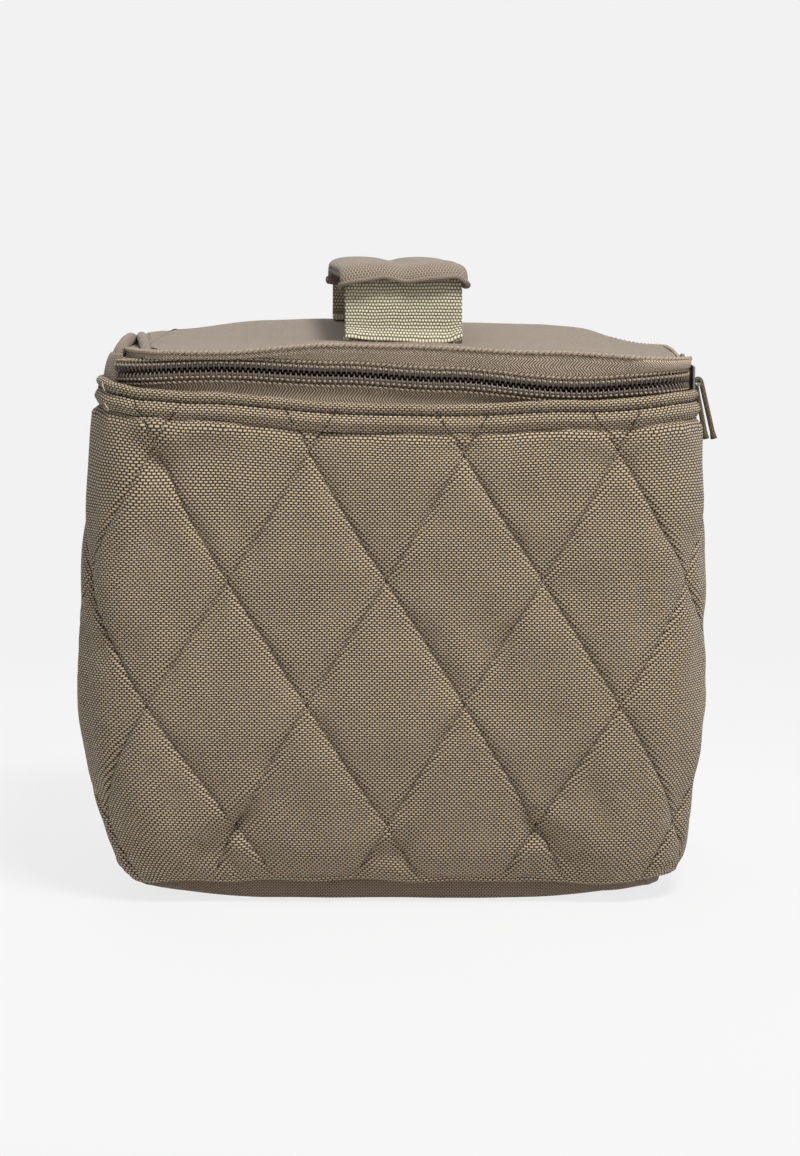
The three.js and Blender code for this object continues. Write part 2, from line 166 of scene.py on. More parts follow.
def grid_sheet(us: Sequence[float], vs: Sequence[float], place: Place) -> bmesh.types.BMesh:
    """Makes a sheet whose own coordinates are its UV map, in metres.

    Args:
        us: Places along the sheet's first direction.
        vs: Places along its second direction.
        place: Where each pair of them lies.

    Returns:
        The sheet, whose faces point where the first direction crossed with the second points.
    """
    bm = bmesh.new()
    bmesh.ops.create_grid(bm, x_segments=len(us) - 1, y_segments=len(vs) - 1, size=0.5)
    layer = bm.loops.layers.uv.new("UVMap")
    keys = {}
    for vert in bm.verts:
        i = round((vert.co.x + 0.5) * (len(us) - 1))
        j = round((vert.co.y + 0.5) * (len(vs) - 1))
        keys[vert] = (us[i], vs[j])
    for face in bm.faces:
        for loop in face.loops:
            loop[layer].uv = keys[loop.vert]
    for vert, (u, v) in keys.items():
        vert.co = place(u, v)
    return bm


def map_from_above(bm: bmesh.types.BMesh) -> bmesh.types.BMesh:
    """Makes a mesh's X and Y its UV map, in metres.

    Args:
        bm: The mesh.

    Returns:
        The same mesh.
    """
    layer = bm.loops.layers.uv.new("UVMap")
    for face in bm.faces:
        for loop in face.loops:
            loop[layer].uv = loop.vert.co.xy
    return bm


def close_seam(bm: bmesh.types.BMesh) -> bmesh.types.BMesh:
    """Joins the edges of a sheet that meet, and turns its faces outwards.

    Args:
        bm: The sheet.

    Returns:
        The same sheet.
    """
    bmesh.ops.remove_doubles(bm, verts=bm.verts, dist=0.05 * MM)
    bmesh.ops.recalc_face_normals(bm, faces=bm.faces)
    return bm


def fill_ends(bm: bmesh.types.BMesh) -> bmesh.types.BMesh:
    """Closes the open ends of a tube.

    Args:
        bm: The tube.

    Returns:
        The same tube.
    """
    bmesh.ops.holes_fill(bm, edges=[edge for edge in bm.edges if edge.is_boundary], sides=0)
    bmesh.ops.recalc_face_normals(bm, faces=bm.faces)
    return bm


def tube(points: Sequence[Vector], radii: Sequence[float], sides: int = 10) -> bmesh.types.BMesh:
    """Sweeps a round section along a path.

    Args:
        points: The path.
        radii: The section's radius at each point.
        sides: How many sides the section has.

    Returns:
        A closed tube, mapped along its length and round its girth.
    """
    tangents = []
    for i in range(len(points)):
        before, after = points[max(0, i - 1)], points[min(len(points) - 1, i + 1)]
        tangents.append((after - before).normalized())
    side = tangents[0].orthogonal().normalized()
    sides_of = []
    for tangent in tangents:
        side = (side - tangent * side.dot(tangent)).normalized()
        sides_of.append(side.copy())
    reach = [0.0]
    for one, other in zip(points, points[1:]):
        reach.append(reach[-1] + (other - one).length)
    index = {value: i for i, value in enumerate(reach)}
    girth = 2 * math.pi * max(radii)

    def place(u: float, v: float) -> Vector:
        """Where a point of the tube's skin lies.

        Args:
            u: How far along the path.
            v: How far round the girth.

        Returns:
            The point.
        """
        i = index[u]
        angle = 2 * math.pi * v / girth
        across = tangents[i].cross(sides_of[i])
        return points[i] + radii[i] * (sides_of[i] * math.cos(angle) + across * math.sin(angle))

    bm = grid_sheet(reach, [girth * i / sides for i in range(sides + 1)], place)
    return fill_ends(close_seam(bm))


def linked(name: str, data: bpy.types.ID) -> bpy.types.Object:
    """Makes an object of a mesh, a camera or a lamp and links it to the scene.

    Args:
        name: The object's name.
        data: What it is made of.

    Returns:
        The object.
    """
    obj = bpy.data.objects.new(name, data)
    bpy.context.scene.collection.objects.link(obj)
    return obj


def smooth_object(mesh: bpy.types.Mesh) -> bpy.types.Object:
    """Makes an object of a mesh whose faces are shaded smoothly."""
    mesh.polygons.foreach_set("use_smooth", [True] * len(mesh.polygons))
    return linked(mesh.name, mesh)


def to_object(bm: bmesh.types.BMesh, name: str) -> bpy.types.Object:
    """Turns a bmesh, which is freed, into an object at the origin.

    Args:
        bm: The bmesh.
        name: The name of the object and its mesh.

    Returns:
        The object.
    """
    mesh = bpy.data.meshes.new(name)
    bm.to_mesh(mesh)
    bm.free()
    return smooth_object(mesh)


def freeze(obj: bpy.types.Object) -> bpy.types.Object:
    """Applies an object's modifiers.

    Args:
        obj: The object.

    Returns:
        The same object with its new mesh.
    """
    bpy.context.view_layer.update()
    graph = bpy.context.evaluated_depsgraph_get()
    mesh = bpy.data.meshes.new_from_object(obj.evaluated_get(graph), preserve_all_data_layers=True,
                                           depsgraph=graph)
    obj.modifiers.clear()
    old, obj.data = obj.data, mesh
    bpy.data.meshes.remove(old)
    mesh.name = obj.name
    return obj


def thicken(obj: bpy.types.Object, thickness: float, offset: float = -1.0) -> bpy.types.Object:
    """Gives a sheet its thickness.

    Args:
        obj: The sheet.
        thickness: How thick it gets.
        offset: -1 for its inner side, 0 for both halves and 1 for its outer side.

    Returns:
        The same object.
    """
    modifier = obj.modifiers.new("thickness", "SOLIDIFY")
    modifier.thickness = thickness
    modifier.offset = offset
    return obj


def subdivide(obj: bpy.types.Object) -> bpy.types.Object:
    """Rounds a mesh by subdividing it once.

    Args:
        obj: The object.

    Returns:
        The same object.
    """
    modifier = obj.modifiers.new("rounding", "SUBSURF")
    modifier.levels = 1
    modifier.render_levels = 1
    modifier.boundary_smooth = "PRESERVE_CORNERS"
    return obj


def repeated(template: bmesh.types.BMesh, places: Sequence[Matrix], name: str) -> bpy.types.Object:
    """Makes one object of many copies of a small shape.

    Args:
        template: The shape, which is freed.
        places: Where each copy goes.
        name: The object's name.

    Returns:
        The object.
    """
    source = bpy.data.meshes.new(name + "_one")
    template.to_mesh(source)
    template.free()
    bm = bmesh.new()
    count = len(source.vertices)
    for _ in places:
        bm.from_mesh(source)
    mesh = bpy.data.meshes.new(name)
    bm.to_mesh(mesh)
    bm.free()
    one = np.empty(count * 3)
    source.vertices.foreach_get("co", one)
    one = np.c_[one.reshape(-1, 3), np.ones(count)]
    moved = np.concatenate([one @ np.array(matrix)[:3].T for matrix in places])
    mesh.vertices.foreach_set("co", moved.ravel())
    mesh.update()
    bpy.data.meshes.remove(source)
    return smooth_object(mesh)


def ball() -> bmesh.types.BMesh:
    """A small round shape of radius 1, to be stretched into a stitch or a bead of thread.

    Returns:
        The shape.
    """
    bm = bmesh.new()
    bmesh.ops.create_uvsphere(bm, u_segments=6, v_segments=4, radius=1.0)
    return bm


def frame_matrix(origin: Vector, along: Vector, up: Vector, size: tuple[float, float, float]) -> Matrix:
    """A place for a copy of a small shape.

    Args:
        origin: Its centre.
        along: Where its X axis points.
        up: Roughly where its Z axis points.
        size: Its scale along its own X, Y and Z axes.

    Returns:
        The matrix that puts it there.
    """
    x = along.normalized()
    y = up.cross(x).normalized()
    z = x.cross(y)
    turn = Matrix((x, y, z)).transposed().to_4x4()
    return Matrix.Translation(origin) @ turn @ Matrix.Diagonal((*size, 1.0))


def cuboid(low: Vector, high: Vector, bevel: float, segments: int = 3) -> bmesh.types.BMesh:
    """A block between two corners with rounded edges.

    Args:
        low: Its lower corner.
        high: Its upper corner.
        bevel: The width of its rounded edges.
        segments: How many faces an edge is rounded with.

    Returns:
        The block.
    """
    bm = bmesh.new()
    bmesh.ops.create_cube(bm, size=1.0)
    for vert in bm.verts:
        vert.co = Vector((low[i] + (vert.co[i] + 0.5) * (high[i] - low[i]) for i in range(3)))
    bmesh.ops.bevel(bm, geom=bm.edges[:], offset=bevel, offset_type="OFFSET", affect="EDGES",
                    segments=segments, profile=0.5, material=-1)
    return bm


def join(parts: Sequence[bmesh.types.BMesh]) -> bmesh.types.BMesh:
    """Puts several meshes into one.

    Args:
        parts: The meshes, which are freed.

    Returns:
        The joined mesh.
    """
    whole = bmesh.new()
    for part in parts:
        mesh = bpy.data.meshes.new("part")
        part.to_mesh(mesh)
        part.free()
        whole.from_mesh(mesh)
        bpy.data.meshes.remove(mesh)
    return whole


# Finishes


class Graph:
    """The nodes of one material, or of the world, while they are being put together."""

    def __init__(self, owner: bpy.types.ID) -> None:
        """Clears the nodes of a material or a world."""
        owner.use_nodes = True
        self.owner = owner
        self.tree = owner.node_tree
        self.tree.nodes.clear()

    def put(self, socket: bpy.types.NodeSocket, value: object) -> None:
        """Links a socket to another one, or sets its value.

        Args:
            socket: An input of a node.
            value: The other socket, or the value.
        """
        if isinstance(value, bpy.types.NodeSocket):
            self.tree.links.new(value, socket)
        elif isinstance(value, tuple) and socket.type == "RGBA":
            socket.default_value = (*value[:3], 1.0)
        else:
            socket.default_value = value

    def node(self, kind: str, inputs: Optional[dict] = None, **settings: object) -> bpy.types.Node:
        """Adds a node.

        Args:
            kind: The node's type without its ShaderNode prefix.
            inputs: Values or sockets by input name or number.
            settings: The node's own settings.

        Returns:
            The node.
        """
        made = self.tree.nodes.new("ShaderNode" + kind)
        for key, value in settings.items():
            setattr(made, key, value)
        for key, value in (inputs or {}).items():
            self.put(made.inputs[key], value)
        return made

    def sum(self, operation: str, *terms: object, clamp: bool = False) -> bpy.types.NodeSocket:
        """One sum of a Math node."""
        made = self.node("Math", dict(enumerate(terms)), operation=operation, use_clamp=clamp)
        return made.outputs[0]

    def mix(self, share: object, one: object, other: object) -> bpy.types.NodeSocket:
        """A colour between two."""
        made = self.node("MixRGB", {0: share, 1: one, 2: other}, blend_type="MIX")
        return made.outputs[0]

    def texture_noise(self, vector: object, scale: float, detail: float = 2.0) -> bpy.types.NodeSocket:
        """Smooth noise between 0 and 1."""
        made = self.node("TexNoise", {"Vector": vector, "Scale": scale, "Detail": detail})
        return made.outputs["Fac"]

    def span(self, value: object, low: float, high: float) -> bpy.types.NodeSocket:
        """Stretches the part of a value between low and high over 0 to 1, eased.

        Args:
            value: The value.
            low: Where the result is 0.
            high: Where it is 1.

        Returns:
            The result's socket.
        """
        made = self.node("MapRange", {0: value, 1: low, 2: high, 3: 0.0, 4: 1.0},
                         interpolation_type="SMOOTHSTEP")
        return made.outputs[0]

    def object_place(self) -> bpy.types.NodeSocket:
        """Object coordinates, in metres."""
        return self.node("TexCoord").outputs["Object"]

    def cloth_place(self) -> tuple[bpy.types.NodeSocket, bpy.types.NodeSocket]:
        """The piece's own map, in metres along and across it."""
        split = self.node("SeparateXYZ", {0: self.node("UVMap", uv_map="UVMap").outputs[0]})
        return split.outputs[0], split.outputs[1]

    def surface(self, colour: object, roughness: object, height: object = None, relief: float = 0.0,
                **constants: float) -> bpy.types.Material:
        """Ends the material with its shader.

        Args:
            colour: The base colour.
            roughness: The roughness.
            height: The relief's height between 0 and 1.
            relief: The relief's real height in metres.
            constants: Other values of the shader, by input name with underscores for spaces.

        Returns:
            The material.
        """
        shader = self.node("BsdfPrincipled", {"Base Color": colour, "Roughness": roughness})
        for key, value in constants.items():
            self.put(shader.inputs[key.replace("_", " ")], value)
        if height is not None:
            bump = self.node("Bump", {"Height": height, "Distance": relief, "Strength": 1.0})
            self.put(shader.inputs["Normal"], bump.outputs[0])
        self.node("OutputMaterial", {0: shader.outputs[0]})
        return self.owner


class Weave(Enum):
    """How the threads of a cloth cross."""

    CROSSED = "crossed"
    HERRINGBONE = "herringbone"
    BRAID = "braid"


@dataclass(frozen=True)
class Finish:
    """What every finish has: a name, and a light and a dark colour that its pattern lies between."""

    name: str
    light: Colour
    dark: Colour

    def material(self) -> bpy.types.Material:
        """The finish's material, made once and then shared."""
        return bpy.data.materials.get(self.name) or self.made(Graph(bpy.data.materials.new(self.name)))

    def made(self, g: Graph) -> bpy.types.Material:
        """Builds the finish's nodes."""
        raise NotImplementedError


@dataclass(frozen=True)
class Cloth(Finish):
    """A woven cloth, whose colour is partly its weave's real pattern and partly painted shade between its
    threads.

    The pitches are the width of one thread along and across the piece's own map.
    """

    weave: Weave = Weave.CROSSED
    pitch_u: float = 0.95 * MM
    pitch_v: float = 0.75 * MM
    relief: float = 0.16 * MM
    # warp_shade and gap set the painted shade: how light the threads that pass under are kept, and the share of
    # the weave's height below which it is painted fully dark.
    warp_shade: float = 0.6
    gap: float = 0.15
    mottle: float = 0.04
    roughness: float = 0.85
    sheen: float = 0.15

    def crossed(self, g: Graph, u: object, v: object) -> tuple[object, object]:
        """Threads that pass over and under one by one.

        Args:
            g: The material's graph.
            u: The place along, in threads.
            v: The place across, in threads.

        Returns:
            The height of the threads, and how far each place belongs to the threads that run across.
        """
        across = g.sum("ABSOLUTE", g.sum("SINE", g.sum("MULTIPLY", u, math.pi)))
        along = g.sum("ABSOLUTE", g.sum("SINE", g.sum("MULTIPLY", v, math.pi)))
        float_place = g.sum("PINGPONG", g.sum("ADD", u, g.sum("FLOOR", v)), 1.0)
        shown = g.span(float_place, 0.08, 0.55)
        turn = g.sum("SUBTRACT", 1.0, shown)
        weft = g.sum("MULTIPLY", g.sum("POWER", along, 0.8), shown)
        height = g.sum("MULTIPLY_ADD", g.sum("MULTIPLY", across, turn), 0.6, weft)
        return height, turn

    def slanted(self, g: Graph, u: object, v: object) -> tuple[object, object]:
        """Slanting threads that turn back at every second rib of a herringbone, or cross in a braid.

        Args:
            g: The material's graph.
            u: The place along, in threads.
            v: The place across, in threads.

        Returns:
            The height of the threads, and a value that sets one half of them apart.
        """
        rib = g.sum("PINGPONG", v, 2.0 if self.weave is Weave.HERRINGBONE else 1.0)
        wave = g.sum("SINE", g.sum("MULTIPLY", g.sum("ADD", u, rib), 2 * math.pi))
        height = g.sum("POWER", g.sum("MULTIPLY_ADD", wave, 0.5, 0.5), 0.7)
        side = g.span(g.sum("ABSOLUTE", g.sum("SINE", g.sum("MULTIPLY", v, math.pi / 2))), 0.2, 0.8)
        return height, side

    def made(self, g: Graph) -> bpy.types.Material:
        """Builds the cloth's nodes.

        Args:
            g: The material's graph.

        Returns:
            The finished material.
        """
        place = g.object_place()
        u, v = g.cloth_place()
        drift = g.sum("MULTIPLY", g.sum("SUBTRACT", g.texture_noise(place, 90.0), 0.5), 0.9)
        u = g.sum("ADD", g.sum("DIVIDE", u, self.pitch_u), drift)
        v = g.sum("SUBTRACT", g.sum("DIVIDE", v, self.pitch_v), drift)
        pattern = self.crossed if self.weave is Weave.CROSSED else self.slanted
        height, group = pattern(g, u, v)
        patches = g.span(g.texture_noise(place, 60.0, 4.0), 0.3, 0.7)
        fibres = g.texture_noise(place, 1600.0, 2.0)
        # Painted shade: the low places between the threads are painted towards the dark colour, and the threads
        # that pass under are painted darker still; the raised floats keep the light colour.
        tone = g.sum("MULTIPLY", g.span(height, self.gap, 1.0),
                     g.sum("SUBTRACT", 1.0, g.sum("MULTIPLY", group, 1.0 - self.warp_shade)))
        tone = g.sum("ADD", tone, g.sum("MULTIPLY", g.sum("SUBTRACT", patches, 0.5), self.mottle))
        tone = g.sum("ADD", tone, g.sum("MULTIPLY", g.sum("SUBTRACT", fibres, 0.5), 0.3), clamp=True)
        colour = g.mix(tone, self.dark, self.light)
        return g.surface(colour, self.roughness, height, self.relief, Sheen_Weight=self.sheen,
                         Sheen_Roughness=0.5, Specular_IOR_Level=0.25)


@dataclass(frozen=True)
class Thread(Finish):
    """Sewing thread."""

    def made(self, g: Graph) -> bpy.types.Material:
        """Builds the thread's nodes."""
        twist = g.texture_noise(g.object_place(), 2500.0, 1.0)
        return g.surface(g.mix(twist, self.dark, self.light), 0.7, twist, 0.05 * MM, Specular_IOR_Level=0.3)


@dataclass(frozen=True)
class Metal(Finish):
    """Dull plated metal with fine scratches."""

    def made(self, g: Graph) -> bpy.types.Material:
        """Builds the metal's nodes.

        Args:
            g: The material's graph.

        Returns:
            The finished material.
        """
        place = g.object_place()
        stretched = g.node("Mapping", {"Vector": place, "Scale": (6.0, 1.0, 1.0)}).outputs[0]
        scratches = g.texture_noise(stretched, 900.0, 4.0)
        wear = g.texture_noise(place, 260.0, 3.0)
        rough = g.sum("MULTIPLY_ADD", scratches, 0.25, 0.28)
        return g.surface(g.mix(wear, self.dark, self.light), rough, scratches, 0.02 * MM, Metallic=1.0)


@dataclass(frozen=True)
class Plastic(Finish):
    """Moulded or drawn plastic."""

    roughness: float
    grain: float

    def made(self, g: Graph) -> bpy.types.Material:
        """Builds the plastic's nodes.

        Args:
            g: The material's graph.

        Returns:
            The finished material.
        """
        place = g.object_place()
        speck = g.texture_noise(place, self.grain, 3.0)
        worn = g.texture_noise(place, 120.0, 2.0)
        rough = g.sum("MULTIPLY_ADD", worn, 0.15, self.roughness)
        return g.surface(g.mix(speck, self.dark, self.light), rough, speck, 0.03 * MM, Specular_IOR_Level=0.45)


# The cloths' dark colours are partly painted shade, used for the low places between their threads.
QUILTED = Cloth("coarse_weave", srgb(206, 185, 155), srgb(44, 35, 26), pitch_u=0.8 * MM, pitch_v=0.8 * MM,
                relief=0.2 * MM, warp_shade=0.25, gap=0.3)
PLAIN = Cloth("plain_weave", srgb(168, 152, 136), srgb(96, 85, 74), pitch_u=0.62 * MM, pitch_v=0.55 * MM,
              relief=0.08 * MM, warp_shade=0.55, gap=0.1)
BASE = Cloth("base_weave", srgb(162, 142, 123), srgb(76, 65, 54), pitch_u=0.6 * MM, pitch_v=0.6 * MM,
             relief=0.08 * MM, warp_shade=0.75)
LINING = Cloth("lining_cloth", srgb(118, 104, 90), srgb(88, 77, 66), pitch_u=0.3 * MM, pitch_v=0.3 * MM,
               relief=0.02 * MM, warp_shade=0.9, roughness=0.55)
TAPE = Cloth("herringbone_tape", srgb(212, 192, 169), srgb(86, 74, 61), weave=Weave.HERRINGBONE,
             pitch_u=1.0 * MM, pitch_v=0.85 * MM, relief=0.12 * MM, warp_shade=0.9)
WEBBING = Cloth("ribbed_webbing", srgb(246, 238, 210), srgb(108, 100, 76), pitch_u=0.55 * MM, pitch_v=1.1 * MM,
                relief=0.25 * MM, warp_shade=0.4)
CORD = Cloth("braided_cord", srgb(132, 117, 92), srgb(60, 51, 38), weave=Weave.BRAID, pitch_u=1.4 * MM,
             pitch_v=0.7 * MM, relief=0.1 * MM)
DARK_THREAD = Thread("dark_thread", srgb(56, 43, 30), srgb(26, 20, 14))
TONE_THREAD = Thread("tone_thread", srgb(190, 172, 150), srgb(134, 118, 101))
PALE_THREAD = Thread("pale_thread", srgb(204, 192, 170), srgb(150, 137, 117))
COIL = Plastic("coil_nylon", srgb(112, 99, 88), srgb(72, 62, 54), 0.22, 900.0)
BOARD = Plastic("board_plastic", srgb(66, 62, 57), srgb(52, 49, 45), 0.55, 400.0)
SLIDER_METAL = Metal("dull_nickel", srgb(150, 150, 146), srgb(104, 104, 101))


def settle(obj: bpy.types.Object, body: str, finish: Finish, slot: str, *nodes: str) -> bpy.types.Object:
    """Dresses a piece and says what it belongs to.

    Args:
        obj: The piece.
        body: The solid model's body that it moves with, or nothing for a piece that lies between two, which is
            then attached to none.
        finish: Its finish.
        slot: Not used.
        nodes: The solid model's nodes that it stands for.

    Returns:
        The piece.
    """
    obj.data.materials.clear()
    obj.data.materials.append(finish.material())
    if body:
        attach(obj, body)
    if nodes:
        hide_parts(*nodes)
    log.info("%s: %d faces", obj.name, len(obj.data.polygons))
    return obj


# The case's form


@dataclass(frozen=True)
class CaseForm:
    """The case's outline in plan and the bulge of its soft walls."""

    width: float = 204 * MM
    depth: float = 140 * MM
    corner: float = 24 * MM
    hem: float = 171 * MM
    bulge: float = 3 * MM
    tuck: float = 8 * MM
    tuck_height: float = 70 * MM

    @property
    def straight_x(self) -> float:
        """Half the length of the outline's straight front."""
        return self.width / 2 - self.corner

    @property
    def straight_y(self) -> float:
        """Half the length of the outline's straight sides."""
        return self.depth / 2 - self.corner

    @property
    def arc(self) -> float:
        """The length of one corner of the outline."""
        return self.corner * math.pi / 2

    @property
    def length(self) -> float:
        """The length of the whole outline."""
        return 4 * (self.straight_x + self.straight_y) + 4 * self.arc

    def outline(self, s: float, offset: float = 0.0) -> tuple[Vector, Vector]:
        """A place on the outline.

        Args:
            s: How far along the outline, from the middle of the front towards +X.
            offset: How far outside the outline.

        Returns:
            The point and the outline's outward direction there, both level.
        """
        half = self.length / 2
        mirrored = (s + half) % self.length - half
        sign = -1.0 if mirrored < 0 else 1.0
        rest = abs(mirrored)
        if rest <= self.straight_x:
            point, normal = Vector((rest, -self.depth / 2, 0.0)), Vector((0.0, -1.0, 0.0))
        elif rest <= self.straight_x + self.arc:
            angle = (rest - self.straight_x) / self.corner - math.pi / 2
            normal = Vector((math.cos(angle), math.sin(angle), 0.0))
            point = Vector((self.straight_x, -self.straight_y, 0.0)) + normal * self.corner
        elif rest <= self.straight_x + self.arc + 2 * self.straight_y:
            along = rest - self.straight_x - self.arc
            point, normal = Vector((self.width / 2, along - self.straight_y, 0.0)), Vector((1.0, 0.0, 0.0))
        elif rest <= self.straight_x + 2 * self.arc + 2 * self.straight_y:
            angle = (rest - self.straight_x - self.arc - 2 * self.straight_y) / self.corner
            normal = Vector((math.cos(angle), math.sin(angle), 0.0))
            point = Vector((self.straight_x, self.straight_y, 0.0)) + normal * self.corner
        else:
            point, normal = Vector((half - rest, self.depth / 2, 0.0)), Vector((0.0, 1.0, 0.0))
        point = point + normal * offset
        return Vector((sign * point.x, point.y, 0.0)), Vector((sign * normal.x, normal.y, 0.0))

    def wall_offset(self, z: float) -> float:
        """How far the soft wall stands out of the hem's outline at a height."""
        swell = self.bulge * math.sin(math.pi * min(max(z, 0.0), self.hem) / self.hem)
        return swell - self.tuck * max(0.0, 1 - z / self.tuck_height) ** 2

    def soft(self, s: float, z: float, offset: float = 0.0) -> Vector:
        """A place on the soft wall, or offset outside it.

        Args:
            s: How far along the outline.
            z: How high.
            offset: How far outside the wall.

        Returns:
            The point.
        """
        point, normal = self.outline(s)
        out = self.wall_offset(z)
        x = point.x * (1 + 2 * out / self.width) + normal.x * offset
        y = point.y * (1 + 2 * out / self.depth) + normal.y * offset
        return Vector((x, y, z))


FORM = CaseForm()


@dataclass(frozen=True)
class ZipLine:
    """The unevenness of the zip's run and of the edges beside it, which the soft cloth gives them.

    The knots are places across the front and how far the line lies above its own height there, in millimetres.
    """

    chain: float = 178.5 * MM
    chain_knots: Knots = ((-98, 3.0), (-60, 4.2), (-20, 2.6), (15, 0.8), (60, -2.6), (99, -0.5))
    rim_knots: Knots = ((-98, -0.5), (-60, -0.9), (-22, 1.6), (0, 1.2), (50, -0.9), (98, -3.4))
    hem_knots: Knots = ((-101, 8.6), (-95, 7.0), (-85, 5.6), (-66, 4.4), (-10, 0.5), (25, 0.5), (62, 1.5),
                        (99, 4.0))

    def drop(self, x: float) -> float:
        """How far the chain lies above its own height at a place across the front."""
        return MM * through(self.chain_knots, x / MM)

    def rim(self, x: float) -> float:
        """The same for the lid's front edge."""
        return MM * through(self.rim_knots, x / MM)

    def hem(self, x: float) -> float:
        """The same for the hem's top edge, which sags between the front corners."""
        return MM * through(self.hem_knots, x / MM)


ZIP_LINE = ZipLine()


# Stitching


@dataclass(frozen=True)
class Stitching:
    """Rows of sewn stitches."""

    pitch: float = 3.2 * MM
    share: float = 0.72
    radius: float = 0.36 * MM
    slant: float = 0.0

    def along(self, place: Callable[[float], tuple[Vector, Vector]], low: float, high: float) -> list[Matrix]:
        """Stitches along a line.

        Args:
            place: The line's point and the surface's direction at a distance along it.
            low: Where the row starts.
            high: Where it ends.

        Returns:
            The place of every stitch.
        """
        made = []
        count = int((high - low) / self.pitch)
        for i in range(count):
            middle = low + (i + 0.5) * self.pitch + 0.1 * self.pitch * ripple(i * 3.1, low * 40, 5.0)
            half = self.pitch * self.share / 2
            start, _ = place(middle - half)
            end, _ = place(middle + half)
            _, up = place(middle)
            if (end - start).length < 1e-6:
                continue
            along = Matrix.Rotation(math.radians(self.slant), 3, up) @ (end - start)
            made.append(frame_matrix((start + end) / 2 + up * self.radius * 0.3, along, up,
                                     ((end - start).length / 2 + self.radius, self.radius, self.radius)))
        return made


def sew(name: str, places: Sequence[Matrix], body: str, thread: Thread, slot: str) -> None:
    """Makes one piece of the stitches of many rows."""
    settle(repeated(ball(), places, name), body, thread, slot)


# Walls


@dataclass(frozen=True)
class QuiltPattern:
    """The quilting's diamonds on the unrolled wall."""

    width: float = 51 * MM
    height: float = 84 * MM
    cross_u: float = -3.5 * MM
    cross_z: float = 112 * MM
    steps: int = 14
    gather: float = 0.55
    fullness: float = 0.42

    def flat(self, a: float, b: float) -> tuple[float, float]:
        """Turns the diamonds' own coordinates, whole on the stitch lines, into places on the wall."""
        return self.cross_u + self.width * (a + b) / 2, self.cross_z + self.height * (a - b) / 2

    def diamond(self, u: float, z: float) -> tuple[float, float]:
        """The reverse of flat."""
        across, up = (u - self.cross_u) / self.width, (z - self.cross_z) / self.height
        return across + up, across - up

    def lean(self, value: float) -> float:
        """Draws evenly spaced mesh lines together near the stitch lines."""
        return value - self.gather * math.sin(2 * math.pi * value) / (2 * math.pi)

    def puff(self, u: float, z: float) -> float:
        """How full the diamond is at a place, from 0 on its stitch lines to 1 in its middle."""
        a, b = self.diamond(u, z)
        return (abs(math.sin(math.pi * a) * math.sin(math.pi * b)) + 1e-9) ** self.fullness

    def sheet(self, low: float, high: float, bottom: float, top: float,
              cuts: Sequence[float]) -> bmesh.types.BMesh:
        """A flat sheet whose edges follow the stitch lines, drawn in X along the wall and Y up it.

        Args:
            low: Where the sheet starts along the wall.
            high: Where it ends.
            bottom: Its lower edge.
            top: Its upper edge.
            cuts: Heights at which it gets a further row of edges.

        Returns:
            The sheet with its UV map in metres.
        """
        corners = [self.diamond(u, z) for u in (low, high) for z in (bottom, top)]
        first = math.floor(min(min(corner) for corner in corners))
        count = math.ceil(max(max(corner) for corner in corners)) - first
        cells = count * self.steps
        bm = bmesh.new()
        bmesh.ops.create_grid(bm, x_segments=cells, y_segments=cells, size=0.5)
        for vert in bm.verts:
            a = first + self.lean((vert.co.x + 0.5) * count)
            b = first + self.lean((vert.co.y + 0.5) * count)
            vert.co = Vector((*self.flat(a, b), 0.0))
        margin = 8 * MM
        far = [vert for vert in bm.verts if not (low - margin < vert.co.x < high + margin
                                                 and bottom - margin < vert.co.y < top + margin)]
        bmesh.ops.delete(bm, geom=far, context="VERTS")
        snap = 0.35 * MM
        for axis, value in ((0, low), (0, high), *((1, cut) for cut in (bottom, *cuts, top))):
            for vert in bm.verts:
                if abs(vert.co[axis] - value) < snap:
                    vert.co[axis] = value
        for axis, value, side in ((0, low, -1), (0, high, 1), (1, bottom, -1), (1, top, 1),
                                  *((1, cut, 0) for cut in cuts)):
            plane = Vector((0.0, 0.0, 0.0))
            plane[axis] = side or 1
            point = Vector((0.0, 0.0, 0.0))
            point[axis] = value
            bmesh.ops.bisect_plane(bm, geom=bm.verts[:] + bm.edges[:] + bm.faces[:], dist=1e-6,
                                   plane_co=point, plane_no=plane, clear_outer=side != 0)
        return map_from_above(bm)


@dataclass(frozen=True)
class Fold:
    """A short crease pressed into the quilted cloth."""

    u: float
    z: float
    length: float
    turn: float
    depth: float
    width: float = 3.0

    def push(self, u: float, z: float) -> float:
        """How far the crease moves the cloth at a place, all in millimetres.

        Args:
            u: How far along the wall.
            z: How high.

        Returns:
            How far outwards.
        """
        angle = math.radians(self.turn)
        du, dz = u - self.u, z - self.z
        along = du * math.cos(angle) + dz * math.sin(angle)
        across = -du * math.sin(angle) + dz * math.cos(angle)
        reach = math.exp(-((2 * along / self.length) ** 2))
        valley = math.exp(-((across / self.width) ** 2))
        ridge = 0.6 * math.exp(-(((across - 1.8 * self.width) / self.width) ** 2))
        return 1.6 * self.depth * reach * (ridge - valley)


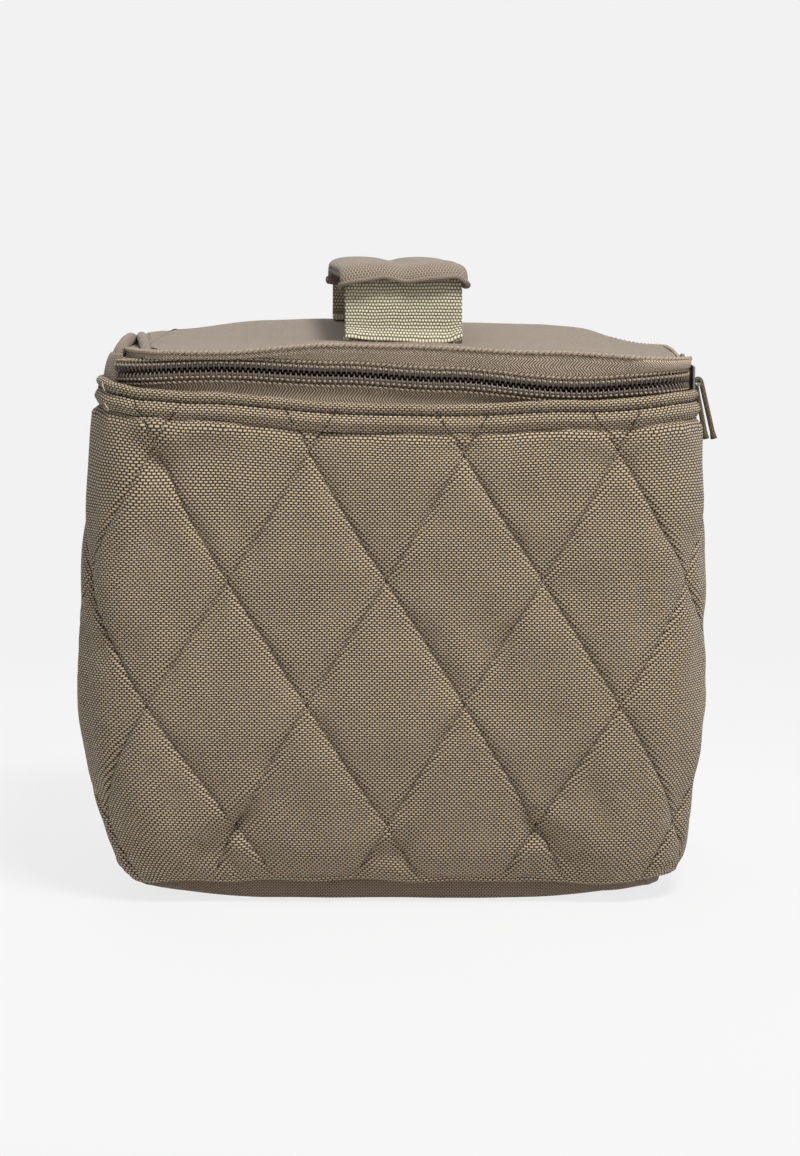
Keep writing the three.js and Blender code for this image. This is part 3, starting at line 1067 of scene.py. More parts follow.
@dataclass
class QuiltedWalls:
    """The quilted band round the front and sides, the quilted back, the hem and all their stitching."""

    quilt: QuiltPattern = QuiltPattern()
    back_quilt: QuiltPattern = QuiltPattern(cross_u=323.4 * MM)
    seat: float = -2.0 * MM
    pull: float = 0.6 * MM
    lift: float = 0.7 * MM
    side_seam: float = FORM.straight_x + 25 * MM
    groove_depth: float = 0.8 * MM
    groove_width: float = 1.5 * MM
    swell: float = 3.0 * MM
    most: float = 3.8 * MM
    growth: float = 0.005
    left_bulge: float = 2.8 * MM
    right_foot: float = 2.4 * MM
    pressure: float = 3.0
    stiffness: float = 40.0
    bending: float = 2.0
    cloth: float = 0.9 * MM
    cuts: tuple[float, ...] = (6.55, 7.7, 8.85, 10.0, 159.0)
    row_low: float = 160.5 * MM
    row_high: float = 167.3 * MM
    low_bend: float = 10.0 * MM
    low_radius: float = 2.2 * MM
    top_bend: float = 169.4 * MM
    top_radius: float = 1.7 * MM
    stitch_low: float = 11 * MM
    stitch_high: float = 169.0 * MM
    line_sewing: Stitching = Stitching(radius=0.44 * MM, share=0.8)
    seam_sewing: Stitching = Stitching(pitch=3.4 * MM)
    hem_sewing: Stitching = Stitching(pitch=3.0 * MM, radius=0.34 * MM)
    hem_profile: Knots = ((158.5, -3.2), (160.5, -2.7), (162.0, -0.2), (164.3, 0.9), (166.1, 0.3),
                          (167.3, -1.0), (168.5, 0.0), (169.4, 0.3))
    under: float = 2.0 * MM
    frames: int = 20
    thread_ends: Knots = ((-24.5, 169.8), (-22.0, 163.8), (-24.2, 162.4))
    folds: tuple[Fold, ...] = (
        Fold(-62, 24, 34, 34, 2.0, 3.4), Fold(-57, 15, 26, -35, 1.6, 2.8), Fold(-76, 34, 30, 62, 1.4),
        Fold(-48, 34, 26, 44, 1.2, 3.0), Fold(-2, 20, 28, 24, 1.4), Fold(10, 13, 26, -18, 1.4, 2.6),
        Fold(56, 22, 34, -34, 2.0, 3.4), Fold(49, 13, 24, 24, 1.5, 2.8), Fold(68, 38, 28, -60, 1.2),
        Fold(30, 12, 30, 8, 1.3), Fold(-30, 12, 30, -8, 1.3), Fold(-80, 128, 40, 78, 1.2, 5.0),
        Fold(-64, 151, 30, 12, 2.2, 5.0), Fold(-84, 152, 22, -30, 1.6, 4.0), Fold(20, 155, 26, 6, 0.9, 4.0),
        Fold(60, 152, 30, -10, 1.2, 4.5), Fold(-40, 96, 44, 66, 0.8, 6.0), Fold(36, 84, 48, -62, 0.8, 6.0),
        Fold(82, 110, 44, 80, 1.0, 5.0),
        Fold(150, 16, 28, 20, 1.2), Fold(-150, 16, 28, -20, 1.2), Fold(205, 20, 28, -24, 1.1),
        Fold(-205, 20, 28, 24, 1.1), Fold(112, 24, 30, 70, 1.0), Fold(-112, 24, 30, -70, 1.0),
    )

    @property
    def seam(self) -> float:
        """Where the band ends at each side of the back, along the outline."""
        return FORM.straight_x + 2 * FORM.arc + 2 * FORM.straight_y

    def edge_hang(self, u: float) -> float:
        """How far the wall's lower edge waves up and down, lower at the front corners.

        Args:
            u: How far along the outline.

        Returns:
            How far up.
        """
        corner = FORM.straight_x + FORM.arc / 2
        hang = math.exp(-(((abs(u) - corner) / (18 * MM)) ** 2))
        return MM * (2.4 * ripple(u * 36, 0.0, 2.0) - 0.4 * hang)

    def wall(self, u: float, t: float, out: float = 0.0) -> Vector:
        """A place on the quilted cloth.

        Args:
            u: How far along the outline.
            t: How far up the cloth, which turns in under the wall below the lower bend.
            out: How far outside the sewn-down cloth.

        Returns:
            The point.
        """
        z, inward = t, 0.0
        if t < self.low_bend:
            angle = min((self.low_bend - t) / self.low_radius, math.pi / 2)
            rest = max(0.0, self.low_bend - t - self.low_radius * math.pi / 2)
            z = self.low_bend - self.low_radius * math.sin(angle)
            inward = self.low_radius * (1 - math.cos(angle)) + rest
        wave = self.edge_hang(u) * (1 - smoothstep(10 * MM, 28 * MM, t))
        dip = -0.6 * MM * smoothstep(self.row_low - 5 * MM, self.row_low, t)
        crease = MM * sum(fold.push(u / MM, t / MM) for fold in self.folds)
        crease -= self.groove_depth * math.exp(-(((u + self.side_seam) / self.groove_width) ** 2))
        sway = MM * (1.2 * ripple(u * 14, t * 14, 7.0) + 0.9 * ripple(u * 38, t * 24, 8.0)
                     + 1.1 * ripple(u * 110, t * 70, 12.0))
        sway *= smoothstep(10 * MM, 30 * MM, t)
        point = FORM.soft(u, max(z, self.low_bend), self.seat + dip + out + crease + sway - inward)
        if point.x < 0:
            full = math.sin(math.pi * min(1.0, max(0.0, z / FORM.hem)) ** 0.7)
            point.x += self.left_bulge * point.x / (FORM.width / 2) * full
        else:
            foot = 1 - smoothstep(5 * MM, 40 * MM, z)
            point.x += self.right_foot * point.x / (FORM.width / 2) * foot
        point.z = z + wave + self.hem_lift(u) * smoothstep(self.row_low - 30 * MM, self.row_low, t)
        return point

    def hem(self, u: float, t: float, out: float = 0.0) -> Vector:
        """A place on the hem, which rolls over the wall's top and down its inside.

        Args:
            u: How far along the outline.
            t: How far up the cloth, and on over its top.
            out: How far outside it.

        Returns:
            The point.
        """
        z, inward = t, 0.0
        if t > self.top_bend:
            angle = min((t - self.top_bend) / self.top_radius, math.pi)
            rest = max(0.0, t - self.top_bend - self.top_radius * math.pi)
            z = self.top_bend + self.top_radius * math.sin(angle) - rest
            inward = self.top_radius * (1 - math.cos(angle))
        offset = MM * through(self.hem_profile, t / MM) + 0.6 * MM * ripple(u * 45, t * 60, 3.0)
        point = FORM.soft(u, min(z, FORM.hem), offset + out - inward)
        point.z = z + self.hem_lift(u) * smoothstep(self.row_low - 8 * MM, self.row_low, t)
        return point

    def hem_lift(self, u: float) -> float:
        """How far the hem lies above its own height, which levels out along the sides.

        Args:
            u: How far along the outline.

        Returns:
            How far up.
        """
        point, _ = FORM.outline(u)
        side = 1 - smoothstep(-46 * MM, 10 * MM, point.y)
        return ZIP_LINE.hem(point.x) * side + 0.4 * MM * ripple(u * 30, 0.0, 9.0)

    def panel(self, name: str, quilt: QuiltPattern, low: float, high: float) -> bpy.types.Object:
        """One quilted panel: its sheet is sewn down on the stitch lines and swells between them.

        Args:
            name: The piece's name.
            quilt: Its diamonds.
            low: Where it starts along the outline.
            high: Where it ends.

        Returns:
            The piece, a closed cloth with its thickness.
        """
        bottom = self.low_bend - self.low_radius * math.pi / 2 - self.under
        top = self.row_low + 1.0 * MM
        cuts = [MM * value for value in self.cuts] + [self.row_low]
        bm = quilt.sheet(low, high, bottom, top, cuts)
        flat = [vert.co.xy.to_tuple() for vert in bm.verts]
        bm.verts.index_update()
        sewn, lines = [], []
        for u, t in flat:
            a, b = quilt.diamond(u, t)
            on = (round(a * 2000) % 2000 == 0, round(b * 2000) % 2000 == 0)
            edge = min(u - low, high - u) < 1e-6 or t < self.low_bend or t > self.row_low - 1e-6
            lines.append(on)
            sewn.append(any(on) or edge)
        crease = bm.edges.layers.float.new("crease_edge")
        for edge in bm.edges:
            one, other = (lines[vert.index] for vert in edge.verts)
            if (one[0] and other[0]) or (one[1] and other[1]):
                edge[crease] = 0.9
        for vert, (u, t) in zip(bm.verts, flat):
            vert.co = self.wall(u, t, 0.0 if sewn[vert.index] else self.swell * quilt.puff(u, t))
            if any(lines[vert.index]):
                vert.co = self.wall(u, t, -self.pull)
        obj = to_object(bm, name)
        self.swell_cloth(obj, sewn, flat)
        subdivide(obj)
        thicken(obj, self.cloth)
        return freeze(obj)

    def swell_cloth(self, obj: bpy.types.Object, sewn: Sequence[bool],
                    flat: Sequence[tuple[float, float]]) -> None:
        """Blows the cloth up between its stitch lines with a cloth simulation.

        Args:
            obj: The sheet.
            sewn: Which of its points the stitches hold.
            flat: Every point's place on the unrolled wall.
        """
        group = obj.vertex_groups.new(name="sewn")
        group.add([i for i, held in enumerate(sewn) if held], 1.0, "REPLACE")
        modifier = obj.modifiers.new("swell", "CLOTH")
        settings = modifier.settings
        settings.quality = 5
        settings.mass = 0.15
        settings.tension_stiffness = self.stiffness
        settings.compression_stiffness = self.stiffness
        settings.shear_stiffness = self.stiffness / 2
        settings.bending_stiffness = self.bending
        settings.air_damping = 6
        settings.use_pressure = True
        settings.uniform_pressure_force = self.pressure
        settings.shrink_min = -self.growth
        settings.effector_weights.gravity = 0.0
        settings.vertex_group_mass = "sewn"
        modifier.collision_settings.use_collision = False
        modifier.collision_settings.use_self_collision = False
        scene = bpy.context.scene
        modifier.point_cache.frame_start = 1
        modifier.point_cache.frame_end = self.frames
        for number in range(1, self.frames + 1):
            scene.frame_set(number)
        evaluated = obj.evaluated_get(bpy.context.evaluated_depsgraph_get())
        moved = [vert.co.copy() for vert in evaluated.data.vertices]
        obj.modifiers.remove(modifier)
        scene.frame_set(1)
        reach = []
        for vert, place, (u, t) in zip(obj.data.vertices, moved, flat):
            base = self.wall(u, t)
            step = place - base
            reach.append(step.length)
            if step.length > 1e-9:
                step = step * (self.most * math.tanh(step.length / self.most) / step.length)
            vert.co = base + step
        log.info("%s swells by %.1f mm at most", obj.name, max(reach) / MM)

    def line_stitches(self, quilt: QuiltPattern, low: float, high: float) -> tuple[list[Matrix], list[Matrix]]:
        """The stitches on the diamonds' lines.

        Args:
            quilt: The diamonds.
            low: Where the panel starts along the outline.
            high: Where it ends.

        Returns:
            The stitches on the wall, and those where the lines run on over the hem.
        """
        stitching = self.line_sewing
        wall_ones, hem_ones = [], []
        run = math.hypot(quilt.width, quilt.height)
        corners = [quilt.diamond(u, z) for u in (low, high) for z in (0.0, FORM.hem)]
        first = math.floor(min(min(corner) for corner in corners))
        last = math.ceil(max(max(corner) for corner in corners))
        for number in range(first, last + 1):
            for lean in (0, 1):
                count = int((last - first) * run / stitching.pitch)
                for i in range(count):
                    here = first + (i + 0.5) * stitching.pitch * 2 / run
                    if here > last + 1:
                        break
                    half = stitching.pitch * stitching.share / run
                    ends = []
                    for value in (here - half, here + half):
                        ends.append(quilt.flat(*((number, value) if lean else (value, number))))
                    (u0, t0), (u1, t1) = ends
                    if not (low + MM < min(u0, u1) and max(u0, u1) < high - MM):
                        continue
                    if min(t0, t1) < self.stitch_low or max(t0, t1) > self.stitch_high:
                        continue
                    if min(t0, t1) < self.row_low < max(t0, t1):
                        continue
                    on_hem = t0 > self.row_low
                    place = self.hem if on_hem else self.wall
                    lift = 0.3 * MM if on_hem else self.lift - self.pull
                    start, end = place(u0, t0, lift), place(u1, t1, lift)
                    _, normal = FORM.outline((u0 + u1) / 2)
                    size = ((end - start).length / 2 + stitching.radius, stitching.radius * 0.9,
                            stitching.radius)
                    if on_hem:
                        size = (size[0] * 0.9, size[1] * 0.6, size[2] * 0.6)
                    (hem_ones if on_hem else wall_ones).append(
                        frame_matrix((start + end) / 2, end - start, normal, size))
        return wall_ones, hem_ones

    def build_hem(self) -> bpy.types.Object:
        """The folded top edge, all the way round.

        Returns:
            The piece.
        """
        half = FORM.length / 2
        steps = spread(self.row_low - 1.7 * MM, self.top_bend, 0.75 * MM)
        steps += spread(self.top_bend, self.top_bend + self.top_radius * math.pi + 7 * MM, 0.9 * MM)[1:]
        bm = close_seam(grid_sheet(spread(-half, half, 2.2 * MM), steps, self.hem))
        obj = thicken(to_object(bm, "hem"), self.cloth)
        return settle(freeze(obj), "case", QUILTED, "quilted_fabric")

    def build_seams(self) -> bpy.types.Object:
        """The rolled seams where the band meets the back panel.

        Returns:
            The piece.
        """
        parts = []
        for side in (-1, 1):
            points = [self.wall(side * self.seam, t, 0.6 * MM) for t in spread(5 * MM, self.row_low, 4 * MM)]
            parts.append(tube(points, [1.1 * MM] * len(points), 8))
        return settle(to_object(join(parts), "back_corner_seams"), "case", QUILTED, "quilted_fabric")

    def build(self) -> None:
        """Makes the walls, the hem and their stitches."""
        ends = (self.seam, FORM.length - self.seam)
        band = settle(self.panel("quilted_walls", self.quilt, -self.seam, self.seam), "case", QUILTED,
                      "quilted_fabric", "quilted_band")
        back = settle(self.panel("quilted_back", self.back_quilt, *ends), "case", QUILTED, "quilted_fabric",
                      "back_panel")
        self.build_hem()
        self.build_seams()
        wall_ones, hem_ones = self.line_stitches(self.quilt, -self.seam, self.seam)
        back_ones, back_hem = self.line_stitches(self.back_quilt, *ends)
        sew("quilting_stitches", wall_ones + back_ones, "case", DARK_THREAD, "quilted_fabric")
        sew("hem_quilting_stitches", hem_ones + back_hem, "case", DARK_THREAD, "quilted_fabric")

        def upright(t: float) -> tuple[Vector, Vector]:
            """A place on the upright seam behind the left front corner."""
            return self.wall(-self.side_seam, t, 0.4 * MM), FORM.outline(-self.side_seam)[1]

        rows = self.seam_sewing.along(upright, 14 * MM, 158 * MM)
        for height in (self.row_low, self.row_high):
            def place(u: float, t: float = height) -> tuple[Vector, Vector]:
                """A place on one row of the hem's stitches."""
                return self.hem(u, t, 0.3 * MM), FORM.outline(u)[1]
            rows += self.hem_sewing.along(place, -FORM.length / 2, FORM.length / 2)
        sew("hem_stitches", rows, "case", DARK_THREAD, "quilted_fabric")
        tails = []
        for u, t in self.thread_ends:
            tail = [self.hem(-FORM.straight_x + (u + 0.7 * i) * MM, (t - 0.12 * i * i) * MM,
                             (0.2 + 0.35 * i) * MM) for i in range(5)]
            tails.append(tube(tail, [0.24 * MM] * 5, 6))
        settle(to_object(join(tails), "loose_thread_ends"), "case", PALE_THREAD, "quilted_fabric")


# Base and linings


def spun_plate(profile: Sequence[tuple[float, float]], offset: Callable[[float], float],
               rise: Optional[Callable[[float, float], float]] = None, steps: int = 128) -> bmesh.types.BMesh:
    """A plate that follows the case's outline, spun from its profile.

    Args:
        profile: Pairs of share of the outline's reach and height, from the middle to the middle or an edge.
        offset: How far outside the case's outline the plate's rim is at a height.
        rise: What is added to the height at a place in plan, if anything.
        steps: How many steps the spin takes.

    Returns:
        The plate, mapped from above in metres.
    """
    bm = bmesh.new()
    verts = [bm.verts.new((reach, 0.0, height)) for reach, height in profile]
    edges = [bm.edges.new(pair) for pair in zip(verts, verts[1:])]
    bmesh.ops.spin(bm, geom=verts + edges, cent=(0, 0, 0), axis=(0, 0, 1), dvec=(0, 0, 0),
                   angle=2 * math.pi, steps=steps, use_merge=True, use_duplicate=False)
    bmesh.ops.remove_doubles(bm, verts=bm.verts, dist=1e-5)
    for vert in bm.verts:
        reach = math.hypot(vert.co.x, vert.co.y)
        point = Vector((0.0, 0.0, 0.0))
        if reach >= 1e-6:
            turn = (math.atan2(vert.co.y, vert.co.x) + math.pi / 2) / (2 * math.pi)
            point = FORM.outline(turn * FORM.length, offset(vert.co.z))[0] * reach
        added = rise(point.x, point.y) if rise else 0.0
        vert.co = Vector((point.x, point.y, vert.co.z + added))
    map_from_above(bm)
    bmesh.ops.recalc_face_normals(bm, faces=bm.faces)
    return bm


@dataclass
class Base:
    """The soft base under the walls."""

    inset: float = 12.2 * MM
    thickness: float = 5.4 * MM
    border_top: float = 7.6 * MM

    def build(self) -> None:
        """Makes the base's cushion and the plain strip round it."""
        rim = self.thickness / 2
        inner = [0.25, 0.5, 0.7, 0.82, 0.9, 0.95]
        rounds = [(1 - 0.03 * (1 - math.cos(math.pi / 2 - math.pi * i / 10)),
                   rim - rim * math.sin(math.pi / 2 - math.pi * i / 10)) for i in range(11)]
        profile = [(0.0, 0.0)] + [(r, 0.0) for r in inner] + rounds
        profile += [(r, self.thickness) for r in reversed(inner)] + [(0.0, self.thickness)]
        obj = subdivide(to_object(spun_plate(profile, lambda height: -self.inset, self.rise), "base_cushion"))
        base = settle(freeze(obj), "case", BASE, "base_fabric", "base_panel")

        def border(s: float, z: float) -> Vector:
            """A place on the plain strip that shows under the quilting.

            Args:
                s: How far along the outline.
                z: How high it lies when flat.

            Returns:
                The point.
            """
            bow = 0.7 * MM + 0.4 * MM * math.sin(math.pi * z / (8 * MM))
            point, normal = FORM.outline(s, -self.inset + bow)
            point += normal * 0.3 * MM * ripple(s * 60, z * 90, 6.0)
            return Vector((point.x, point.y, z + self.rise(point.x, point.y) * (1 - z / (12 * MM))))
        half = FORM.length / 2
        heights = spread(0.5 * MM, self.border_top, 1.1 * MM)
        bm = close_seam(grid_sheet(spread(-half, half, 2 * MM), heights, border))
        settle(freeze(thicken(to_object(bm, "base_border"), 0.9 * MM)), "case", BASE, "base_fabric")

    def rise(self, x: float, y: float) -> float:
        """How far the soft base stands off the ground near its rim, most at its corners.

        Args:
            x: The place across.
            y: The place from front to back.

        Returns:
            How far up.
        """
        far = max(abs(x) / (89 * MM), abs(y) / (57 * MM))
        corner = smoothstep(44 * MM, 90 * MM, abs(x)) * (0.3 + 0.7 * smoothstep(15 * MM, 52 * MM, abs(y)))
        wave = 0.45 * (1 + ripple(x * 40, y * 40, 4.0))
        return MM * (wave + 4.0 * corner) * smoothstep(0.78, 1.0, far)


@dataclass
class Lining:
    """The thin cloth that lines the case."""

    gap: float = 6.2 * MM
    floor: float = 7.4 * MM
    top: float = 168.5 * MM
    corner: float = 4 * MM
    thickness: float = 0.6 * MM

    def build(self) -> None:
        """Makes the lining of the case as one bag."""
        bend = [(1.0, self.floor + self.corner * (1 - math.cos(math.pi / 2 * i / 5))) for i in range(1, 5)]
        heights = spread(self.floor + self.corner, self.top, 6 * MM)
        profile = [(r, self.floor) for r in (0.0, 0.2, 0.4, 0.6, 0.75, 0.87, 0.95)]
        profile += [(0.985, self.floor + 0.3 * MM)] + bend + [(1.0, height) for height in heights]

        def offset(height: float) -> float:
            """Inside the soft wall, which bulges."""
            inset = self.corner * max(0.0, 1 - (height - self.floor) / self.corner) ** 2 * 0.6
            return FORM.wall_offset(height) - self.gap - inset

        bm = spun_plate(profile, offset, steps=160)
        for vert in bm.verts:
            wall = smoothstep(self.floor + 2 * MM, self.floor + 20 * MM, vert.co.z)
            calm = 1 - 0.7 * smoothstep(self.top - 25 * MM, self.top, vert.co.z)
            loose = 1.0 * MM * ripple(math.atan2(vert.co.y, vert.co.x) * 5, vert.co.z * 18, 11.0)
            direction = Vector((vert.co.x, vert.co.y, 0.0))
            if direction.length > 1e-6:
                vert.co += direction.normalized() * (loose - 0.6 * MM) * wall * calm
            vert.co.z += (1 - wall) * 0.35 * MM * (1 + ripple(vert.co.x * 50, vert.co.y * 50, 12.0))
        layer = bm.loops.layers.uv.verify()
        for face in bm.faces:
            for loop in face.loops:
                co = loop.vert.co
                if co.z > self.floor + self.corner:
                    loop[layer].uv = (math.atan2(co.y, co.x) * 85 * MM, co.z)
        bmesh.ops.recalc_face_normals(bm, faces=bm.faces)
        middle = min(bm.faces, key=lambda face: face.calc_center_median().length)
        if middle.normal.z < 0:
            bmesh.ops.reverse_faces(bm, faces=bm.faces)
        bag = freeze(thicken(to_object(bm, "lining_bag"), self.thickness))
        settle(bag, "case", LINING, "lining_fabric", "lining_floor", "lining_walls")


# Zip


@dataclass
class Zip:
    """The zip's tapes, coils and thread, and the cloth tabs at its two ends."""

    end: float = FORM.straight_x + FORM.arc + 12 * MM
    coil_end: float = FORM.straight_x + FORM.arc
    recess: float = 5.4 * MM
    tape: float = 0.7 * MM
    pitch: float = 1.77 * MM
    tooth: float = 0.34 * MM
    arch: float = 1.7 * MM
    rim_offset: float = -2.5 * MM
    corner_bulge: float = 1.6 * MM
    lower: tuple[float, float] = (166.0 * MM, 177.6 * MM)
    upper: tuple[float, float] = (179.4 * MM, 188.9 * MM)

    def line(self, s: float, z: float, offset: float) -> Vector:
        """A place on the zip's run, which hangs as the zip line says and bulges round the right corner.

        Args:
            s: How far along the outline.
            z: How high on the level zip.
            offset: How far outside the outline.

        Returns:
            The point.
        """
        turn = min(1.0, max(0.0, (s - FORM.straight_x) / FORM.arc))
        point, _ = FORM.outline(s, offset + self.corner_bulge * math.sin(math.pi * turn))
        near = 1 - smoothstep(4 * MM, 9 * MM, abs(z - ZIP_LINE.chain))
        return Vector((point.x, point.y, z + ZIP_LINE.drop(point.x) * near))

    def build_tape(self, name: str, node: str, edges: tuple[float, float], body: str) -> None:
        """One tape.

        Args:
            name: The piece's name.
            node: The solid that it stands for.
            edges: Its lower and its upper edge.
            body: The body that it moves with.
        """
        def place(s: float, z: float) -> Vector:
            """The tape leans out slightly towards the chain.

            Args:
                s: How far along the outline.
                z: How high on the level tape.

            Returns:
                The point.
            """
            near = 1 - min(1.0, abs(z - ZIP_LINE.chain) / (10 * MM))
            out = 0.5 * MM * near
            if body == "lid":
                out += (self.recess + self.rim_offset) * smoothstep(179.8 * MM, 188.4 * MM, z)
            point = self.line(s, z, -self.recess + out)
            if body == "lid":
                share = smoothstep(182 * MM, 187 * MM, z)
                point.z += (ZIP_LINE.rim(point.x) + Lid.sag(point.x, point.y)) * share
                point.x += (Lid.drawn_in(point.x) - point.x) * share
            return point
        bm = grid_sheet(spread(-self.end, self.end, 2 * MM), spread(*edges, 1.2 * MM), place)
        obj = freeze(thicken(to_object(bm, name), self.tape))
        settle(obj, body, TAPE, "zip_tape", node)

    def build_coil(self, name: str, node: str, side: int, body: str) -> None:
        """One row of coil loops with the thread that holds them.

        Args:
            name: The piece's name.
            node: The solid that it stands for.
            side: 1 for the upper coil and -1 for the lower one.
            body: The body that it moves with.
        """
        bm = bmesh.new()
        bmesh.ops.create_circle(bm, cap_ends=False, segments=6, radius=self.tooth,
                                matrix=Matrix.Translation((self.arch, 0, 0)))
        bmesh.ops.spin(bm, geom=bm.verts[:] + bm.edges[:], cent=(0, 0, 0), axis=(0, 1, 0), dvec=(0, 0, 0),
                       angle=-math.pi, steps=8, use_merge=False, use_duplicate=False)
        fill_ends(bm)
        places, beads = [], []
        shift = 0.25 if side > 0 else -0.25
        count = int(2 * self.coil_end / self.pitch)
        reach = self.arch + self.tooth
        for i in range(count):
            s = -self.coil_end + (i + 0.5 + shift) * self.pitch
            _, normal = FORM.outline(s)
            z = ZIP_LINE.chain + side * (reach - 0.35 * MM)
            middle = self.line(s, z, -self.recess + 0.35 * MM)
            along = Vector((-normal.y, normal.x, 0.0))
            turn = Matrix((Vector((0, 0, 1.0)), -along, normal)).transposed().to_4x4()
            places.append(Matrix.Translation(middle) @ turn)
            edge = self.line(s, ZIP_LINE.chain + side * (2 * reach - 0.2 * MM), -self.recess + 1.3 * MM)
            beads.append(frame_matrix(edge, along + Vector((0, 0, 0.5 * side)), normal,
                                      (0.85 * MM, 0.5 * MM, 0.6 * MM)))
            inner = self.line(s + 0.45 * self.pitch, ZIP_LINE.chain + side * 2.35 * MM, -self.recess + 1.9 * MM)
            beads.append(frame_matrix(inner, along, normal, (0.62 * MM, 0.5 * MM, 0.45 * MM)))
        settle(repeated(bm, places, name), body, COIL, "zip_coil", node)
        sew(name + "_thread", beads, body, TONE_THREAD, "zip_tape")
        core = [self.line(s, ZIP_LINE.chain + side * 1.5 * MM, -self.recess + 0.9 * MM)
                for s in spread(-self.coil_end, self.coil_end, 2 * MM)]
        core_piece = to_object(tube(core, [0.75 * MM] * len(core), 6), name + "_core")
        settle(core_piece, body, COIL, "zip_coil")

    def build(self) -> None:
        """Makes both tapes, both coils and the end tabs."""
        self.build_tape("lower_tape", "lower_zip_tape", self.lower, "case")
        self.build_tape("upper_tape", "upper_zip_tape", self.upper, "lid")
        self.build_coil("lower_coil", "lower_zip_coil", -1, "case")
        self.build_coil("upper_coil", "upper_zip_coil", 1, "lid")
        self.build_tabs()

    def build_tabs(self) -> None:
        """The folded cloth over the zip's two ends."""
        def left(u: float, v: float) -> Vector:
            """A rounded fold of cloth in front of the zip's left end.

            Args:
                u: How far along the fold.
                v: How high.

            Returns:
                The point.
            """
            round_u = math.sin(math.pi * min(1.0, (u + 0.8 * MM) / (18 * MM))) ** 0.5 if u < 17 * MM else 0.0
            round_v = max(0.0, math.sin(math.pi * (v - 166 * MM) / (23 * MM))) ** 0.5
            out = 4.6 * MM * round_u * round_v + 0.3 * MM * ripple(u * 90, v * 90, 61.0)
            point, _ = FORM.outline(-(FORM.straight_x + 20.8 * MM + u), -6.0 * MM + out)
            return Vector((point.x, point.y, v))
        bm = grid_sheet(spread(0.0, 18 * MM, 1.2 * MM), spread(167 * MM, 188 * MM, 1.4 * MM), left)
        bmesh.ops.reverse_faces(bm, faces=bm.faces)
        obj = freeze(subdivide(thicken(to_object(bm, "left_tab"), 1.0 * MM)))
        settle(obj, "case", PLAIN, "plain_fabric", "left_zip_end_tab")

        def right(u: float, v: float) -> Vector:
            """A short cloth tab behind the parked slider.

            Args:
                u: How far along the tab.
                v: How high.

            Returns:
                The point.
            """
            s = FORM.straight_x + FORM.arc + 6.5 * MM + u
            point, _ = FORM.outline(s, -4.2 * MM + 1.0 * MM * math.sin(math.pi * u / (6 * MM)))
            return Vector((point.x, point.y, v))
        bm = grid_sheet(spread(0.0, 6 * MM, 1 * MM), spread(171 * MM, 186.5 * MM, 1.5 * MM), right)
        obj = freeze(subdivide(thicken(to_object(bm, "right_tab"), 0.9 * MM)))
        settle(obj, "case", PLAIN, "plain_fabric", "right_zip_end_tab")


@dataclass
class Slider:
    """The zip's slider and the doubled cord through its crown."""

    low: Vector = Vector((99.9, -52.0, 173.9)) * MM
    high: Vector = Vector((100.9, -40.0, 183.1)) * MM
    inner: tuple[float, float] = (93.6 * MM, 94.5 * MM)
    rod: Vector = Vector((102.6, -46.0, 176.8)) * MM
    strand: float = 19 * MM
    cord: float = 0.9 * MM
    loop: float = 1.0 * MM
    lean: float = 12.5

    def build(self) -> None:
        """Makes the slider and its pull."""
        outer = cuboid(self.low, self.high, 0.45 * MM)
        inner = cuboid(Vector((self.inner[0], self.low.y, self.low.z)),
                       Vector((self.inner[1], self.high.y, self.high.z)), 0.4 * MM)
        web_low = Vector((self.inner[0] + 0.4 * MM, self.high.y - 4 * MM, self.rod.z - 0.3 * MM))
        web_high = Vector((self.low.x + 0.5 * MM, self.high.y - 0.4 * MM, self.rod.z + 0.3 * MM))
        web = cuboid(web_low, web_high, 0.1 * MM, 1)
        half = (self.high.y - self.low.y) / 2 - 0.9 * MM
        arch = [Vector((self.high.x - 0.3 * MM, self.rod.y - half, self.rod.z)),
                Vector((self.rod.x - 1.2 * MM, self.rod.y - half, self.rod.z)),
                Vector((self.rod.x, self.rod.y - half + 1.4 * MM, self.rod.z)),
                Vector((self.rod.x, self.rod.y + half - 1.4 * MM, self.rod.z)),
                Vector((self.rod.x - 1.2 * MM, self.rod.y + half, self.rod.z)),
                Vector((self.high.x - 0.3 * MM, self.rod.y + half, self.rod.z))]
        crown = tube(arch, [0.6 * MM] * len(arch), 10)
        obj = to_object(join([outer, inner, web, crown]), "slider")
        settle(obj, "slider", SLIDER_METAL, "slider_metal", "zip_slider")
        self.build_cord()

    def build_cord(self) -> None:
        """Two strands of cord from the crown to their flared, cut ends."""
        tilt = math.radians(self.lean)
        out = Vector((math.sin(tilt), 0.0, -math.cos(tilt)))
        side = Vector((math.cos(tilt), 0.0, math.sin(tilt)))
        points, radii = [], []
        places = spread(0.0, self.strand, 1.2 * MM)
        for along in reversed(places):
            share = along / self.strand
            points.append(self.rod + out * along - side * self.loop * (1 + 0.35 * share))
            radii.append(self.cord * (1 + 0.35 * smoothstep(0.88, 1.0, share)))
        for i in range(1, 10):
            angle = math.pi * i / 10
            points.append(self.rod - out * 1.6 * MM * math.sin(angle) - side * self.loop * math.cos(angle))
            radii.append(self.cord)
        for along in places:
            share = along / self.strand
            points.append(self.rod + out * (along * 1.03) + side * self.loop * (1 + 0.35 * share)
                          + Vector((0.0, 0.8 * MM * share, 0.0)))
            radii.append(self.cord * (1 + 0.35 * smoothstep(0.88, 1.0, share)))
        obj = to_object(tube(points, radii, 10), "pull_cord")
        settle(obj, "pull", CORD, "pull_cord", "zip_pull_cord")


# Gussets and hinge


